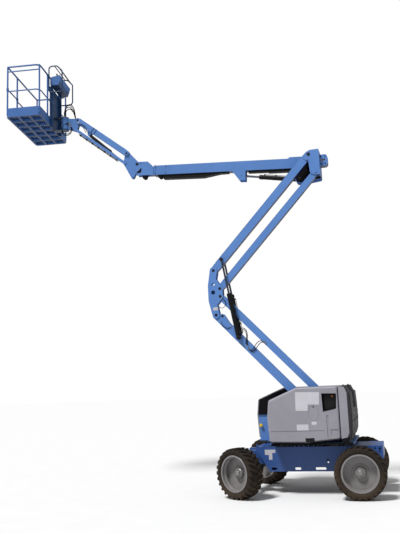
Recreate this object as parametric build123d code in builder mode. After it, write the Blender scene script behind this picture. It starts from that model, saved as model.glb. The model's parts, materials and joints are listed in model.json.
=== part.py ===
from build123d import *
import os
from math import atan2, cos, degrees, radians, sin

# Articulating boom lift: a four-wheel chassis with a turntable, a folding riser made of two
# parallelogram arms, a telescopic boom, a jib and a work platform.
# Millimetres. +X points to the front, where the platform hangs, +Y to the left side, +Z up.
# The origin is on the ground under the middle of the whole machine.

os.makedirs("parts", exist_ok=True)

# ---- Driving dimensions --------------------------------------------------------------------------

# stance
SLEW_X = -2370           # slew axis, midway between the axles
WHEELBASE = 2030
TYRE_RADIUS = 442        # over the lugs
TYRE_WIDTH = 330
WIDTH = 2290             # over the tyres
RIM_RADIUS = 319         # over the rim's flanges
KINGPIN_Y = 818
STEER_ANGLE = 31         # both front wheels, turned to the right

# layers across the machine
ARM_Y = 130              # middle of the folding arms
BOOM_Y = -140            # middle of the telescopic boom, the jib and the platform
ARM_WIDTH = 100
PLATE = 12               # side plates at the pivots
SIDE_GAP = 6             # between a moving part and the plates beside it

# folding arms
ARM_ANGLE = 46.7         # both arms, above level
LOWER_LENGTH = 3180
UPPER_LENGTH = 2980
LOWER_PIVOT = (SLEW_X - 581, 1054)
LOWER_LINK_SHIFT = (-100, 368)    # from the lower arm's pins to the lower link's pins
MID_RISE = (18, 899)              # from the lower arm's top pin to the upper arm's bottom pin
UPPER_LINK_SHIFT = (-115, -375)   # from the upper arm's pins to the upper link's pins
ARM_DEPTH = 155
LINK_DEPTH = 130
ARM_WALL = 8
ARM_PIN = 25             # radius
FIT = 0.05               # radial running clearance of a pin in its bore
LIFT_BASE = 650          # lift cylinders' lower pin, down the lower arm from its top pin
LIFT_ROD = 275           # lift cylinders' upper pin, up the upper arm from its bottom pin
LIFT_RADIUS = 45
LIFT_BARREL = 890        # from the lower pin to the gland

# telescopic boom
BOOM_ANGLE = 4.5
BOOM_PIVOT_SHIFT = (-24, -93)     # from the upper arm's top pin
BOOM_WIDTH = 150
BOOM_DEPTH = 207
BOOM_WALL = 8
BOOM_FRONT = 3365        # from the pivot to the outer tube's front end
BOOM_TAIL = 95
TIP_LENGTH = 440         # from the outer tube's front end to the end of the tip plates
SLIDE_GAP = 0.3          # wear pads
TELESCOPE_STROKE = 1500

# jib and platform
JIB_ANGLE = 38.8
JIB_LENGTH = 1500
JIB_DEPTH = 130
JIB_TIP_SHIFT = (240, 281)        # from the tip pin to the jib arm's pin
JIB_LINK_SHIFT = (54, -210)       # from the jib arm's pins to the jib link's pins
JIB_PIN = 16
JIB_LOW = 45             # radius of the eyes on the bellcrank and the head
ROTATOR_X = SLEW_X + 5040
PLATFORM_TURN = 9        # about the rotator
PLATFORM_OUT = 650       # from the rotator to the middle of the platform
PLATFORM_BOTTOM = 7888
PLATFORM_HEIGHT = 1184
PLATFORM_LENGTH = 1830
PLATFORM_WIDTH = 760
RAIL_RADIUS = 18


def side(y, pin=(0, 0), angle=0):
    """Plane at y that faces -Y, with its origin at pin and its x axis raised by angle from +X."""
    slope = radians(angle)
    return Plane(origin=(pin[0], y, pin[1]), x_dir=(cos(slope), 0, sin(slope)), z_dir=(0, -1, 0))


def reach(pin, angle, length, left=0):
    """The point a length along a sloping line from pin, and a distance to the line's left."""
    slope = radians(angle)
    return (
        pin[0] + length * cos(slope) - left * sin(slope),
        pin[1] + length * sin(slope) + left * cos(slope),
    )


def shifted(pin, shift):
    """A pin moved by a shift along X and Z."""
    return (pin[0] + shift[0], pin[1] + shift[1])


def hull_plate(eyes, y_high, thickness, mode=Mode.ADD):
    """A plate whose outline wraps round eyes, each (x, z, radius), on the part being built."""
    with BuildSketch(side(y_high)) as outline:
        for x, z, radius in eyes:
            with Locations((x, z)):
                Circle(radius)
        if len(eyes) > 1:
            make_hull()
    extrude(outline.sketch, amount=thickness, mode=mode)


def cross_pin(pin, radius, y_low, y_high, mode=Mode.ADD):
    """A round pin across the machine, or with Mode.SUBTRACT a bore, on the part being built."""
    with BuildSketch(side(y_high)) as outline:
        with Locations(pin):
            Circle(radius)
    extrude(outline.sketch, amount=y_high - y_low, mode=mode)


def bar(start, end, radius):
    """A round bar from start to end, on the part being built."""
    run = Vector(*end) - Vector(*start)
    with BuildSketch(Plane(origin=start, z_dir=run)) as section:
        Circle(radius)
    extrude(section.sketch, amount=run.length)


def pair(middle, half_gap, thickness):
    """The high faces of two plates that stand either side of a gap."""
    return (middle + half_gap + thickness, middle - half_gap)


# ---- Places worked out from the dimensions ---------------------------------------------------------

AXLES = {"front": SLEW_X + WHEELBASE / 2, "rear": SLEW_X - WHEELBASE / 2}
WHEEL_Y = (WIDTH - TYRE_WIDTH) / 2
ARM_HALF = ARM_WIDTH / 2
PLATE_IN = ARM_HALF + SIDE_GAP         # arms' middle to the plates' inner faces
PLATE_OUT = PLATE_IN + PLATE
LOWER_TOP = reach(LOWER_PIVOT, ARM_ANGLE, LOWER_LENGTH)
LOWER_LINK_PIVOT = shifted(LOWER_PIVOT, LOWER_LINK_SHIFT)
LOWER_LINK_TOP = shifted(LOWER_TOP, LOWER_LINK_SHIFT)
UPPER_BOTTOM = shifted(LOWER_TOP, MID_RISE)
UPPER_LINK_BOTTOM = shifted(UPPER_BOTTOM, UPPER_LINK_SHIFT)
UPPER_TOP = reach(UPPER_BOTTOM, 180 - ARM_ANGLE, UPPER_LENGTH)
UPPER_LINK_TOP = shifted(UPPER_TOP, UPPER_LINK_SHIFT)
LIFT_BASE_PIN = reach(LOWER_TOP, ARM_ANGLE, -LIFT_BASE)
LIFT_ROD_PIN = reach(UPPER_BOTTOM, 180 - ARM_ANGLE, LIFT_ROD)
BOOM_PIVOT = shifted(UPPER_TOP, BOOM_PIVOT_SHIFT)
TIP_PIN = reach(BOOM_PIVOT, BOOM_ANGLE, BOOM_FRONT + TIP_LENGTH - 31, 160)
JIB_PIVOT = shifted(TIP_PIN, JIB_TIP_SHIFT)
JIB_LINK_PIVOT = shifted(JIB_PIVOT, JIB_LINK_SHIFT)
JIB_TOP = reach(JIB_PIVOT, JIB_ANGLE, JIB_LENGTH)
JIB_LINK_TOP = shifted(JIB_TOP, JIB_LINK_SHIFT)


# ---- Tyres and rims ------------------------------------------------------------------------------

TREAD_RADIUS = TYRE_RADIUS - 22
BEAD_RADIUS = 300
RIM_HALF = 135           # between the rim's flanges
FLANGE = 8
LUGS = 26                # on each side of the tread
HUB_BORE = 45
HUB_OUT = 40             # the hub's outer face, from the wheel's middle
HUB_IN = -40
DISC = -22               # inner face of the disc at the rim, deep inside the wheel
DISC_THICK = 12

with BuildPart() as tyre:
    with BuildSketch(Plane.YZ):
        with BuildLine():
            Polyline(
                (0, BEAD_RADIUS + 0.3),
                (RIM_HALF - 0.3, BEAD_RADIUS + 0.3),
                (RIM_HALF - 0.3, RIM_RADIUS + 4),
                (TYRE_WIDTH / 2, RIM_RADIUS + 45),
                (TYRE_WIDTH / 2 - 6, TREAD_RADIUS - 25),
                (TYRE_WIDTH / 2 - 30, TREAD_RADIUS - 4),
                (0, TREAD_RADIUS),
            )
            mirror(about=Plane.YZ)
        make_face()
    revolve(axis=Axis.Y)
    lug_sections = ((8, 0, 22, -30), (100, 5, 21, -30), (150, 8, 14, -40), (164, 9, -22, -60))
    with BuildPart(mode=Mode.PRIVATE) as lug:
        # y, turn round the wheel in degrees, top and bottom above the tread radius
        for y, turn, top, bottom in lug_sections:
            with BuildSketch(Plane(origin=(0, y, 0), x_dir=(cos(radians(turn)), 0, -sin(radians(turn))),
                                   z_dir=(0, -1, 0))):
                with Locations((0, TREAD_RADIUS + (top + bottom) / 2)):
                    Rectangle(44, top - bottom)
        loft(ruled=True)
    for number in range(LUGS):
        turn = 360 / LUGS * number
        add(lug.part.rotate(Axis.Y, turn))
        add(lug.part.mirror(Plane.XZ).rotate(Axis.Y, turn + 180 / LUGS))

with BuildPart() as rim:
    with BuildSketch(Plane.YZ):
        with BuildLine():
            Polyline(
                (RIM_HALF + FLANGE, RIM_RADIUS),
                (RIM_HALF, RIM_RADIUS),
                (RIM_HALF, BEAD_RADIUS),
                (-RIM_HALF, BEAD_RADIUS),
                (-RIM_HALF, RIM_RADIUS),
                (-RIM_HALF - FLANGE, RIM_RADIUS),
                (-RIM_HALF - FLANGE, BEAD_RADIUS - 8),
                (DISC, BEAD_RADIUS - 8),
                (HUB_IN, 150),
                (HUB_IN, HUB_BORE + FIT),
                (HUB_OUT, HUB_BORE + FIT),
                (HUB_OUT, 76),
                (HUB_OUT - 12, 90),
                (HUB_IN + DISC_THICK + 6, 98),
                (HUB_IN + DISC_THICK, 150),
                (DISC + DISC_THICK, BEAD_RADIUS - 8),
                (RIM_HALF - 70, BEAD_RADIUS - 26),
                (RIM_HALF - 40, BEAD_RADIUS - 8),
                (RIM_HALF + FLANGE, BEAD_RADIUS - 8),
                close=True,
            )
        make_face()
    revolve(axis=Axis.Y)

# name, axle, side, turn about the kingpin
WHEELS = (
    ("front_left", "front", 1, -STEER_ANGLE),
    ("front_right", "front", -1, -STEER_ANGLE),
    ("rear_left", "rear", 1, 0),
    ("rear_right", "rear", -1, 0),
)
for wheel_name, axle_name, hand, turn in WHEELS:
    axle_x = AXLES[axle_name]
    kingpin = Axis((axle_x, hand * KINGPIN_Y, 0), (0, 0, 1))
    for piece_name, piece in (("tyre", tyre), ("rim", rim)):
        placed = piece.part if hand > 0 else piece.part.mirror(Plane.XZ)
        placed = placed.moved(Location((axle_x, hand * WHEEL_Y, TYRE_RADIUS)))
        placed = placed.rotate(kingpin, turn)
        placed.label = f"{piece_name}_{wheel_name}"
        export_step(placed, f"parts/{piece_name}_{wheel_name}.step")


# ---- Axles and steering knuckles -------------------------------------------------------------------

AXLE_TUBE = 62
EAR_GAP = 74             # half the height of the knuckle's boss
EAR = 20
KINGPIN = 22             # radius
CARRIER_Z = TYRE_RADIUS + AXLE_TUBE + 16   # underside of the chassis over each axle
HUB_FACE = WHEEL_Y + HUB_IN - 0.3

for axle_name, axle_x in AXLES.items():
    tube_end = KINGPIN_Y - 75 if axle_name == "front" else HUB_FACE - 40
    with BuildPart() as axle:
        with BuildSketch(Plane.XZ.offset(-tube_end)):
            with Locations((axle_x, TYRE_RADIUS)):
                Circle(AXLE_TUBE)
        extrude(amount=2 * tube_end)
        with BuildSketch(Plane.YZ.offset(axle_x - 130)):
            with Locations((0, TYRE_RADIUS)):
                Circle(135)
        extrude(amount=260)
        for hand in (1, -1):
            with BuildSketch(Plane.XY.offset(TYRE_RADIUS)):
                with Locations((axle_x, hand * 250)):
                    Rectangle(130, 110)
            extrude(amount=CARRIER_Z - TYRE_RADIUS)
            if axle_name == "front":
                with BuildSketch(Plane.XZ.offset(-hand * (KINGPIN_Y - 60))):
                    with Locations((axle_x, TYRE_RADIUS)):
                        Rectangle(90, 2 * (EAR_GAP + EAR))
                extrude(amount=hand * 24)
                for ear_z in (TYRE_RADIUS + EAR_GAP + 1, TYRE_RADIUS - EAR_GAP - EAR - 1):
                    with BuildSketch(Plane.XY.offset(ear_z)):
                        with Locations((axle_x, hand * (KINGPIN_Y - 42))):
                            Rectangle(90, 84)
                        with Locations((axle_x, hand * KINGPIN_Y)):
                            Circle(45)
                    extrude(amount=EAR)
                with BuildSketch(Plane.XY.offset(TYRE_RADIUS - EAR_GAP - EAR)):
                    with Locations((axle_x, hand * KINGPIN_Y)):
                        Circle(KINGPIN)
                extrude(amount=2 * (EAR_GAP + EAR))
            else:
                with BuildSketch(Plane.XZ.offset(-hand * HUB_FACE)):
                    with Locations((axle_x, TYRE_RADIUS)):
                        Circle(80)
                extrude(amount=hand * 40)
                with BuildSketch(Plane.XZ.offset(-hand * (WHEEL_Y + HUB_OUT + 12))):
                    with Locations((axle_x, TYRE_RADIUS)):
                        Circle(HUB_BORE)
                extrude(amount=hand * (HUB_OUT - HUB_IN + 30))
    axle.part.label = f"{axle_name}_axle"
    export_step(axle.part, f"parts/{axle_name}_axle.step")

for knuckle_name, hand in (("left", 1), ("right", -1)):
    axle_x = AXLES["front"]
    with BuildPart() as knuckle:
        with BuildSketch(Plane.XY.offset(TYRE_RADIUS - EAR_GAP)):
            with Locations((axle_x, hand * KINGPIN_Y)):
                Circle(42)
        extrude(amount=2 * EAR_GAP)
        with BuildSketch(Plane.XZ.offset(-hand * KINGPIN_Y)):
            with Locations((axle_x, TYRE_RADIUS)):
                Circle(60)
        extrude(amount=-hand * (HUB_FACE - KINGPIN_Y - 20))
        with BuildSketch(Plane.XZ.offset(-hand * HUB_FACE)):
            with Locations((axle_x, TYRE_RADIUS)):
                Circle(80)
        extrude(amount=hand * 22)
        with BuildSketch(Plane.XZ.offset(-hand * (WHEEL_Y + HUB_OUT + 12))):
            with Locations((axle_x, TYRE_RADIUS)):
                Circle(HUB_BORE)
        extrude(amount=hand * (HUB_OUT - HUB_IN + 20))
        with BuildSketch(Plane.XY.offset(TYRE_RADIUS - 14)):
            with Locations((axle_x - 90, hand * KINGPIN_Y)):
                Rectangle(180, 40)
            with Locations((axle_x - 180, hand * KINGPIN_Y)):
                Circle(26)
        extrude(amount=28)
        with BuildSketch(Plane.XY.offset(TYRE_RADIUS - EAR_GAP)):
            with Locations((axle_x, hand * KINGPIN_Y)):
                Circle(KINGPIN + FIT)
        extrude(amount=2 * EAR_GAP, mode=Mode.SUBTRACT)
    turned = knuckle.part.rotate(Axis((axle_x, hand * KINGPIN_Y, 0), (0, 0, 1)), -STEER_ANGLE)
    turned.label = f"knuckle_{knuckle_name}"
    export_step(turned, f"parts/knuckle_{knuckle_name}.step")


# ---- Chassis ---------------------------------------------------------------------------------------

CHASSIS_TOP = 838
CHASSIS_BOTTOM = 402
CHASSIS_HALF = 450
CHASSIS_SIDE = 20        # side plates
CHASSIS_FRONT = 890      # from the slew axis
CHASSIS_REAR = 1400
TIE_DOWN = (SLEW_X - 1345, 788)        # lifting and tie-down holes in the side plates
TIE_DOWN_RADIUS = 22
CHASSIS_HOLES = (((SLEW_X - 1262, 795), 18), ((SLEW_X - 1338, 738), 18))
KEY_HOLE_X = -428        # from the slew axis
FRONT_LUGS = ((855, 885), (735, 870))  # along X from the slew axis, height of the top
# along X from the slew axis, width of each slot that goes through both side plates
CHASSIS_SLOTS = ((560, 100), (120, 110), (-290, 190))

with BuildPart() as chassis:
    with BuildSketch(side(CHASSIS_HALF, (SLEW_X, 0))):
        with BuildLine():
            Polyline(
                (CHASSIS_FRONT, CHASSIS_TOP),
                (CHASSIS_FRONT, CHASSIS_TOP - 36),
                (640, CHASSIS_BOTTOM),
                (-520, CHASSIS_BOTTOM),
                (-690, 620),
                (-CHASSIS_REAR, 620),
                (-CHASSIS_REAR, CHASSIS_TOP),
                close=True,
            )
        make_face()
    extrude(amount=2 * CHASSIS_HALF)
    # the box is open below between its side plates, bulkheads and top plate
    for bay_x, bay_length in ((-100, 960), (-1215, 330)):
        with BuildSketch(Plane.XY.offset(CHASSIS_BOTTOM - 10)):
            with Locations((SLEW_X + bay_x, 0)):
                Rectangle(bay_length, 2 * (CHASSIS_HALF - CHASSIS_SIDE))
        extrude(amount=CHASSIS_TOP - CHASSIS_BOTTOM - 15, mode=Mode.SUBTRACT)
    for slot_x, slot_width in CHASSIS_SLOTS:
        with BuildSketch(side(CHASSIS_HALF + 5, (SLEW_X, 0))):
            with Locations((slot_x, CHASSIS_BOTTOM + 50)):
                SlotOverall(slot_width, 44)
        extrude(amount=2 * CHASSIS_HALF + 10, mode=Mode.SUBTRACT)
    for end in (1, -1):
        with BuildSketch(Plane.XY.offset(CARRIER_Z)):
            with Locations((SLEW_X + end * 960, 250), (SLEW_X + end * 960, -250)):
                Rectangle(360, 160)
        extrude(amount=250)
    for hole, radius in ((TIE_DOWN, TIE_DOWN_RADIUS),) + CHASSIS_HOLES:
        cross_pin(hole, radius, -CHASSIS_HALF - 5, CHASSIS_HALF + 5, Mode.SUBTRACT)
    # a key-shaped hole, and lugs on the front end
    with BuildSketch(side(CHASSIS_HALF + 5, (SLEW_X, 0))):
        with Locations((KEY_HOLE_X, 602)):
            Circle(24)
        with Locations((KEY_HOLE_X, 572)):
            Rectangle(24, 50)
    extrude(amount=2 * CHASSIS_HALF + 10, mode=Mode.SUBTRACT)
    for lug_x, lug_top in FRONT_LUGS:
        with BuildSketch(Plane.XY.offset(CHASSIS_TOP - 1)):
            with Locations((SLEW_X + lug_x, CHASSIS_HALF - 20), (SLEW_X + lug_x, 20 - CHASSIS_HALF)):
                Rectangle(34, 40)
        extrude(amount=lug_top - CHASSIS_TOP + 1)
chassis.part.label = "chassis"
export_step(chassis.part, "parts/chassis.step")


# ---- Slew ring and turntable -------------------------------------------------------------------------

DECK_BOTTOM = 900
DECK = 30
DECK_TOP = DECK_BOTTOM + DECK
CHANNEL = 315            # half the width of the channel that the arms fold into
COVER_HALF = 850         # outer faces of the covers
TAIL_FRONT = -725        # from the slew axis
TAIL_REAR = -940
TAIL_BOTTOM = 990
TAIL_EDGE = 30           # radius of its side edges
TAIL_BANDS = (1130, 1280)
COVER_TOP = 1905
COVER_BOTTOM = 940
COVER_LEFT_FRONT = 545
COVER_RIGHT_FRONT = 955
BULKHEAD = 10            # plates on both sides of the channel, which carry the covers' hinges
HINGE_Y = CHANNEL - 12
HINGE_Z = COVER_TOP - 15
HINGE_PIN = 5            # radius
KNUCKLE = 9              # radius
COVER_KNUCKLE = 60       # length
HINGES = (-620, -330, -40)             # along X from the slew axis
CONTROL_BOX = (-557, 1640, 220, 300)   # middle along X from the slew axis and Z, length, height
CONTROL_BOX_Y = COVER_HALF - 60

with BuildPart() as slew_ring:
    with BuildSketch(Plane.XY.offset(CHASSIS_TOP)):
        with Locations((SLEW_X, 0)):
            Circle(360)
            Circle(240, mode=Mode.SUBTRACT)
    extrude(amount=DECK_BOTTOM - CHASSIS_TOP - 0.3)
slew_ring.part.label = "slew_ring"
export_step(slew_ring.part, "parts/slew_ring.step")

with BuildPart() as turntable:
    with BuildSketch(Plane.XY.offset(DECK_BOTTOM)):
        with BuildLine():
            Polyline(
                (SLEW_X + 540, COVER_HALF - 40),
                (SLEW_X + TAIL_REAR + 10, COVER_HALF - 40),
                (SLEW_X + TAIL_REAR + 10, -COVER_HALF + 40),
                (SLEW_X + 950, -COVER_HALF + 40),
                (SLEW_X + 950, -CHANNEL + 30),
                (SLEW_X + 700, -CHANNEL + 30),
                (SLEW_X + 700, CHANNEL),
                (SLEW_X + 540, CHANNEL + 60),
                close=True,
            )
        make_face()
    extrude(amount=DECK)
    for y_high in pair(ARM_Y, PLATE_IN, 2 * PLATE):
        hull_plate(
            (
                (LOWER_PIVOT[0], LOWER_PIVOT[1], 75),
                (LOWER_LINK_PIVOT[0], LOWER_LINK_PIVOT[1], 60),
                (LOWER_PIVOT[0] + 260, DECK_TOP + 5, 10),
                (LOWER_PIVOT[0] - 190, DECK_TOP + 5, 10),
            ),
            y_high,
            2 * PLATE,
        )
    for pin in (LOWER_PIVOT, LOWER_LINK_PIVOT):
        cross_pin(pin, ARM_PIN, ARM_Y - PLATE_OUT - PLATE - 8, ARM_Y + PLATE_OUT + PLATE + 8)
    # bulkheads beside the channel, with the fixed half of each cover's hinge on their top edge
    for hand, front in ((1, COVER_LEFT_FRONT), (-1, COVER_RIGHT_FRONT)):
        with BuildSketch(side(hand * HINGE_Y + BULKHEAD / 2, (SLEW_X, 0))):
            with BuildLine():
                Polyline(
                    (TAIL_FRONT + 0.3, DECK_TOP - 1),
                    (front - 25, DECK_TOP - 1),
                    (front - 5, 1390),
                    (front - 40, 1680),
                    (front - 545, HINGE_Z - KNUCKLE - 2),
                    (TAIL_FRONT + 0.3, HINGE_Z - KNUCKLE - 2),
                    close=True,
                )
            make_face()
        extrude(amount=BULKHEAD)
        for hinge_x in HINGES:
            for knuckle_x in (-COVER_KNUCKLE / 2 - 31, COVER_KNUCKLE / 2 + 1):
                with BuildSketch(Plane.YZ.offset(SLEW_X + hinge_x + knuckle_x)):
                    with Locations((hand * HINGE_Y, HINGE_Z)):
                        Circle(KNUCKLE)
                    with Locations((hand * HINGE_Y, HINGE_Z - KNUCKLE)):
                        Rectangle(BULKHEAD, 2 * KNUCKLE)
                extrude(amount=30)
            with BuildSketch(Plane.YZ.offset(SLEW_X + hinge_x - COVER_KNUCKLE)):
                with Locations((hand * HINGE_Y, HINGE_Z)):
                    Circle(HINGE_PIN)
            extrude(amount=2 * COVER_KNUCKLE)
    # ground controls, on an arm from the left bulkhead, behind the window in the cover
    with BuildSketch(side(CONTROL_BOX_Y, (SLEW_X, 0))):
        with Locations((CONTROL_BOX[0], CONTROL_BOX[1])):
            RectangleRounded(CONTROL_BOX[2], CONTROL_BOX[3], 12)
    extrude(amount=90)
    with BuildSketch(side(CONTROL_BOX_Y - 89, (SLEW_X, 0))):
        with Locations((CONTROL_BOX[0], CONTROL_BOX[1] - 60)):
            Rectangle(120, 60)
    extrude(amount=CONTROL_BOX_Y - 89 - HINGE_Y)
turntable.part.label = "turntable"
export_step(turntable.part, "parts/turntable.step")


def cover_outline(front, rear):
    """Side outline of a cover, from its front edge to its rear edge, as points along X and Z."""
    return (
        (front, COVER_BOTTOM),
        (front + 24, 1390),
        (front - 10, 1690),
        (front - 530, COVER_TOP),
        (rear, COVER_TOP),
        (rear, COVER_BOTTOM + 45),
        (rear + 600, COVER_BOTTOM - 10),
    )


COVER_WALL = 22
COVER_BEND = 55          # radius of the outline's corners
COVER_EDGE = 40          # radius of the edges round the outer face
# window over the ground controls in the left cover, along X from the slew axis and Z
WINDOW = ((-434, 1782), (-680, 1773), (-664, 1522), (-443, 1476))
HATCH = (-272, 1447)
HATCH_SIZE = (88, 134)   # half axes
# pockets in the left cover's face: x low, x high, z low, z high, depth
POCKETS = (
    (-529, -490, 1028, 1406, 12),      # upright recess
    (-684, -551, 1060, 1163, 12),      # grip
    (-441, 507, 1137, 1149, 6),        # crease
    (-261, -100, 900, 1020, 16),       # latch
)
# louvres in the right cover's face: rows and columns of slots for the engine's air
LOUVRES = (7, 2)
LOUVRE = (230, 22)
# name, front edge from the slew axis, outer and inner faces
COVERS = (
    ("cover_left", COVER_LEFT_FRONT, CHANNEL, COVER_HALF),
    ("cover_right", COVER_RIGHT_FRONT, -COVER_HALF, -CHANNEL),
)
for cover_name, front, y_low, y_high in COVERS:
    points = cover_outline(front, TAIL_FRONT + 8)
    with BuildPart() as cover:
        hand = 1 if y_high > 0 else -1
        with BuildSketch(side(y_high, (SLEW_X, 0))):
            with BuildLine():
                FilletPolyline(*points, radius=COVER_BEND, close=True)
            make_face()
        extrude(amount=y_high - y_low)
        outer_face = faces().sort_by(Axis.Y)[-1 if hand > 0 else 0]
        fillet(outer_face.edges(), radius=COVER_EDGE)
        with BuildSketch(side(y_high - COVER_WALL if y_high > 0 else y_high + 5, (SLEW_X, 0))):
            with BuildLine():
                FilletPolyline(*points, radius=COVER_BEND, close=True)
            make_face()
            offset(amount=-COVER_WALL, mode=Mode.REPLACE)
            with Locations(((front + TAIL_FRONT) / 2, COVER_BOTTOM)):
                Rectangle(front - TAIL_FRONT - 2 * COVER_BEND, 120)
        extrude(amount=y_high - y_low - COVER_WALL + 5, mode=Mode.SUBTRACT)
        if hand > 0:
            with BuildSketch(side(y_high + 5, (SLEW_X, 0))):
                with BuildLine():
                    FilletPolyline(*WINDOW, radius=14, close=True)
                make_face()
            extrude(amount=COVER_WALL + 20, mode=Mode.SUBTRACT)
            for x_low, x_high, z_low, z_high, depth in POCKETS:
                with BuildSketch(side(y_high, (SLEW_X, 0))):
                    with Locations(((x_low + x_high) / 2, (z_low + z_high) / 2)):
                        Rectangle(x_high - x_low, z_high - z_low)
                extrude(amount=depth, mode=Mode.SUBTRACT)
            with BuildSketch(side(y_high, (SLEW_X, 0))):
                with Locations(HATCH):
                    Ellipse(HATCH_SIZE[0] + 4, HATCH_SIZE[1] + 4)
                    Ellipse(*HATCH_SIZE, mode=Mode.SUBTRACT)
            extrude(amount=6, mode=Mode.SUBTRACT)
        else:
            with BuildSketch(side(y_low + COVER_WALL + 5, (SLEW_X, 0))):
                with Locations((-200, 1350)):
                    with GridLocations(LOUVRE[0] + 60, LOUVRE[1] + 34, LOUVRES[1], LOUVRES[0]):
                        SlotOverall(*LOUVRE)
            extrude(amount=COVER_WALL + 10, mode=Mode.SUBTRACT)
        # the moving half of the hinge
        for hinge_x in HINGES:
            with BuildSketch(Plane.YZ.offset(SLEW_X + hinge_x - COVER_KNUCKLE / 2)):
                with Locations((hand * HINGE_Y, HINGE_Z)):
                    Circle(KNUCKLE)
                with Locations((hand * (HINGE_Y + 9), HINGE_Z)):
                    Rectangle(18, 8)
                with Locations((hand * HINGE_Y, HINGE_Z)):
                    Circle(HINGE_PIN + FIT, mode=Mode.SUBTRACT)
            extrude(amount=COVER_KNUCKLE)
    cover.part.label = cover_name
    export_step(cover.part, f"parts/{cover_name}.step")

with BuildPart() as counterweight:
    with BuildSketch(side(COVER_HALF, (SLEW_X, 0))):
        with BuildLine():
            Polyline(
                (TAIL_FRONT, TAIL_BOTTOM),
                (TAIL_FRONT, COVER_TOP),
                (TAIL_REAR + 100, COVER_TOP + 5),
                (TAIL_REAR + 51, 1809),
                (TAIL_REAR + 18, 1796),
                (TAIL_REAR + 6, 1560),
                (TAIL_REAR, 1315),
                (TAIL_REAR + 14, 1088),
                (TAIL_REAR + 44, TAIL_BOTTOM + 9),
                close=True,
            )
        make_face()
    extrude(amount=2 * COVER_HALF)
    for outer_face in (faces().sort_by(Axis.Y)[0], faces().sort_by(Axis.Y)[-1]):
        rear_edges = outer_face.edges().filter_by(lambda edge: edge.center().X < SLEW_X + TAIL_FRONT - 5)
        fillet(rear_edges, radius=TAIL_EDGE)
    # its foot on the turntable
    with BuildSketch(Plane.XY.offset(DECK_TOP)):
        with Locations((SLEW_X + TAIL_FRONT - 70, 0)):
            Rectangle(140, 2 * COVER_HALF - 180)
    extrude(amount=TAIL_BOTTOM - DECK_TOP + 5)
    # bands cast across its rear face
    for band_z in TAIL_BANDS:
        with BuildSketch(Plane.XY.offset(band_z)):
            with Locations((SLEW_X + TAIL_REAR, 0)):
                Rectangle(30, 2 * COVER_HALF - 260)
        extrude(amount=36, mode=Mode.SUBTRACT)
    # the channel for the folded arms and the boom's tail
    with BuildSketch(Plane.XY.offset(DECK_TOP - 5)):
        with Locations((SLEW_X + TAIL_FRONT, 0)):
            Rectangle(2 * 130, 2 * CHANNEL)
    extrude(amount=COVER_TOP, mode=Mode.SUBTRACT)
    with BuildSketch(Plane.XY.offset(1500)):
        with Locations((SLEW_X + TAIL_REAR, 0)):
            Rectangle(500, 2 * CHANNEL)
    extrude(amount=500, mode=Mode.SUBTRACT)
counterweight.part.label = "counterweight"
export_step(counterweight.part, "parts/counterweight.step")

with BuildPart() as engine:
    with BuildSketch(Plane.XY.offset(DECK_TOP)):
        with Locations((SLEW_X - 200, -590)):
            Rectangle(620, 420)
    extrude(amount=560)
engine.part.label = "engine"
export_step(engine.part, "parts/engine.step")


# ---- Folding arms --------------------------------------------------------------------------------

def box_arm(foot, angle, length, depth, foot_eye, head_eye):
    """A box-section arm with an eye at each end, on the part being built."""
    with BuildSketch(side(ARM_Y + ARM_HALF, foot, angle)) as outline:
        with Locations((length / 2, 0)):
            Rectangle(length - 220, depth)
        Circle(foot_eye)
        with Locations((length, 0)):
            Circle(head_eye)
        make_hull()
    extrude(outline.sketch, amount=ARM_WIDTH)
    with BuildSketch(side(ARM_Y + ARM_HALF - ARM_WALL, foot, angle)) as hollow:
        with Locations((length / 2, 0)):
            Rectangle(length - 260, depth - 2 * ARM_WALL)
    extrude(hollow.sketch, amount=ARM_WIDTH - 2 * ARM_WALL, mode=Mode.SUBTRACT)
    for pin in (foot, reach(foot, angle, length)):
        cross_pin(pin, ARM_PIN + FIT, ARM_Y - ARM_HALF - 1, ARM_Y + ARM_HALF + 1, Mode.SUBTRACT)


LOBE = (104, 72)         # timing link's pin, back along the lower arm from its top pin and above it
LOBE_RADIUS = 44
with BuildPart() as lower_arm:
    box_arm(LOWER_PIVOT, ARM_ANGLE, LOWER_LENGTH, ARM_DEPTH, ARM_DEPTH / 2, ARM_DEPTH / 2)
    cross_pin(LIFT_BASE_PIN, 20, ARM_Y - 165, ARM_Y + 165)
    # a lobe on the arm's head for the timing link's pin
    with BuildSketch(side(ARM_Y + ARM_HALF, LOWER_TOP, ARM_ANGLE)):
        for lobe_x, lobe_z, radius in ((-LOBE[0], LOBE[1], LOBE_RADIUS), (-60, 20, 30), (-330, 20, 50)):
            with Locations((lobe_x, lobe_z)):
                Circle(radius)
        make_hull()
    extrude(amount=ARM_WIDTH)
lower_arm.part.label = "lower_arm"
export_step(lower_arm.part, "parts/lower_arm.step")

with BuildPart() as lower_link:
    box_arm(LOWER_LINK_PIVOT, ARM_ANGLE, LOWER_LENGTH, LINK_DEPTH, LINK_DEPTH / 2 - 8, LINK_DEPTH / 2 - 8)
lower_link.part.label = "lower_link"
export_step(lower_link.part, "parts/lower_link.step")

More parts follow.
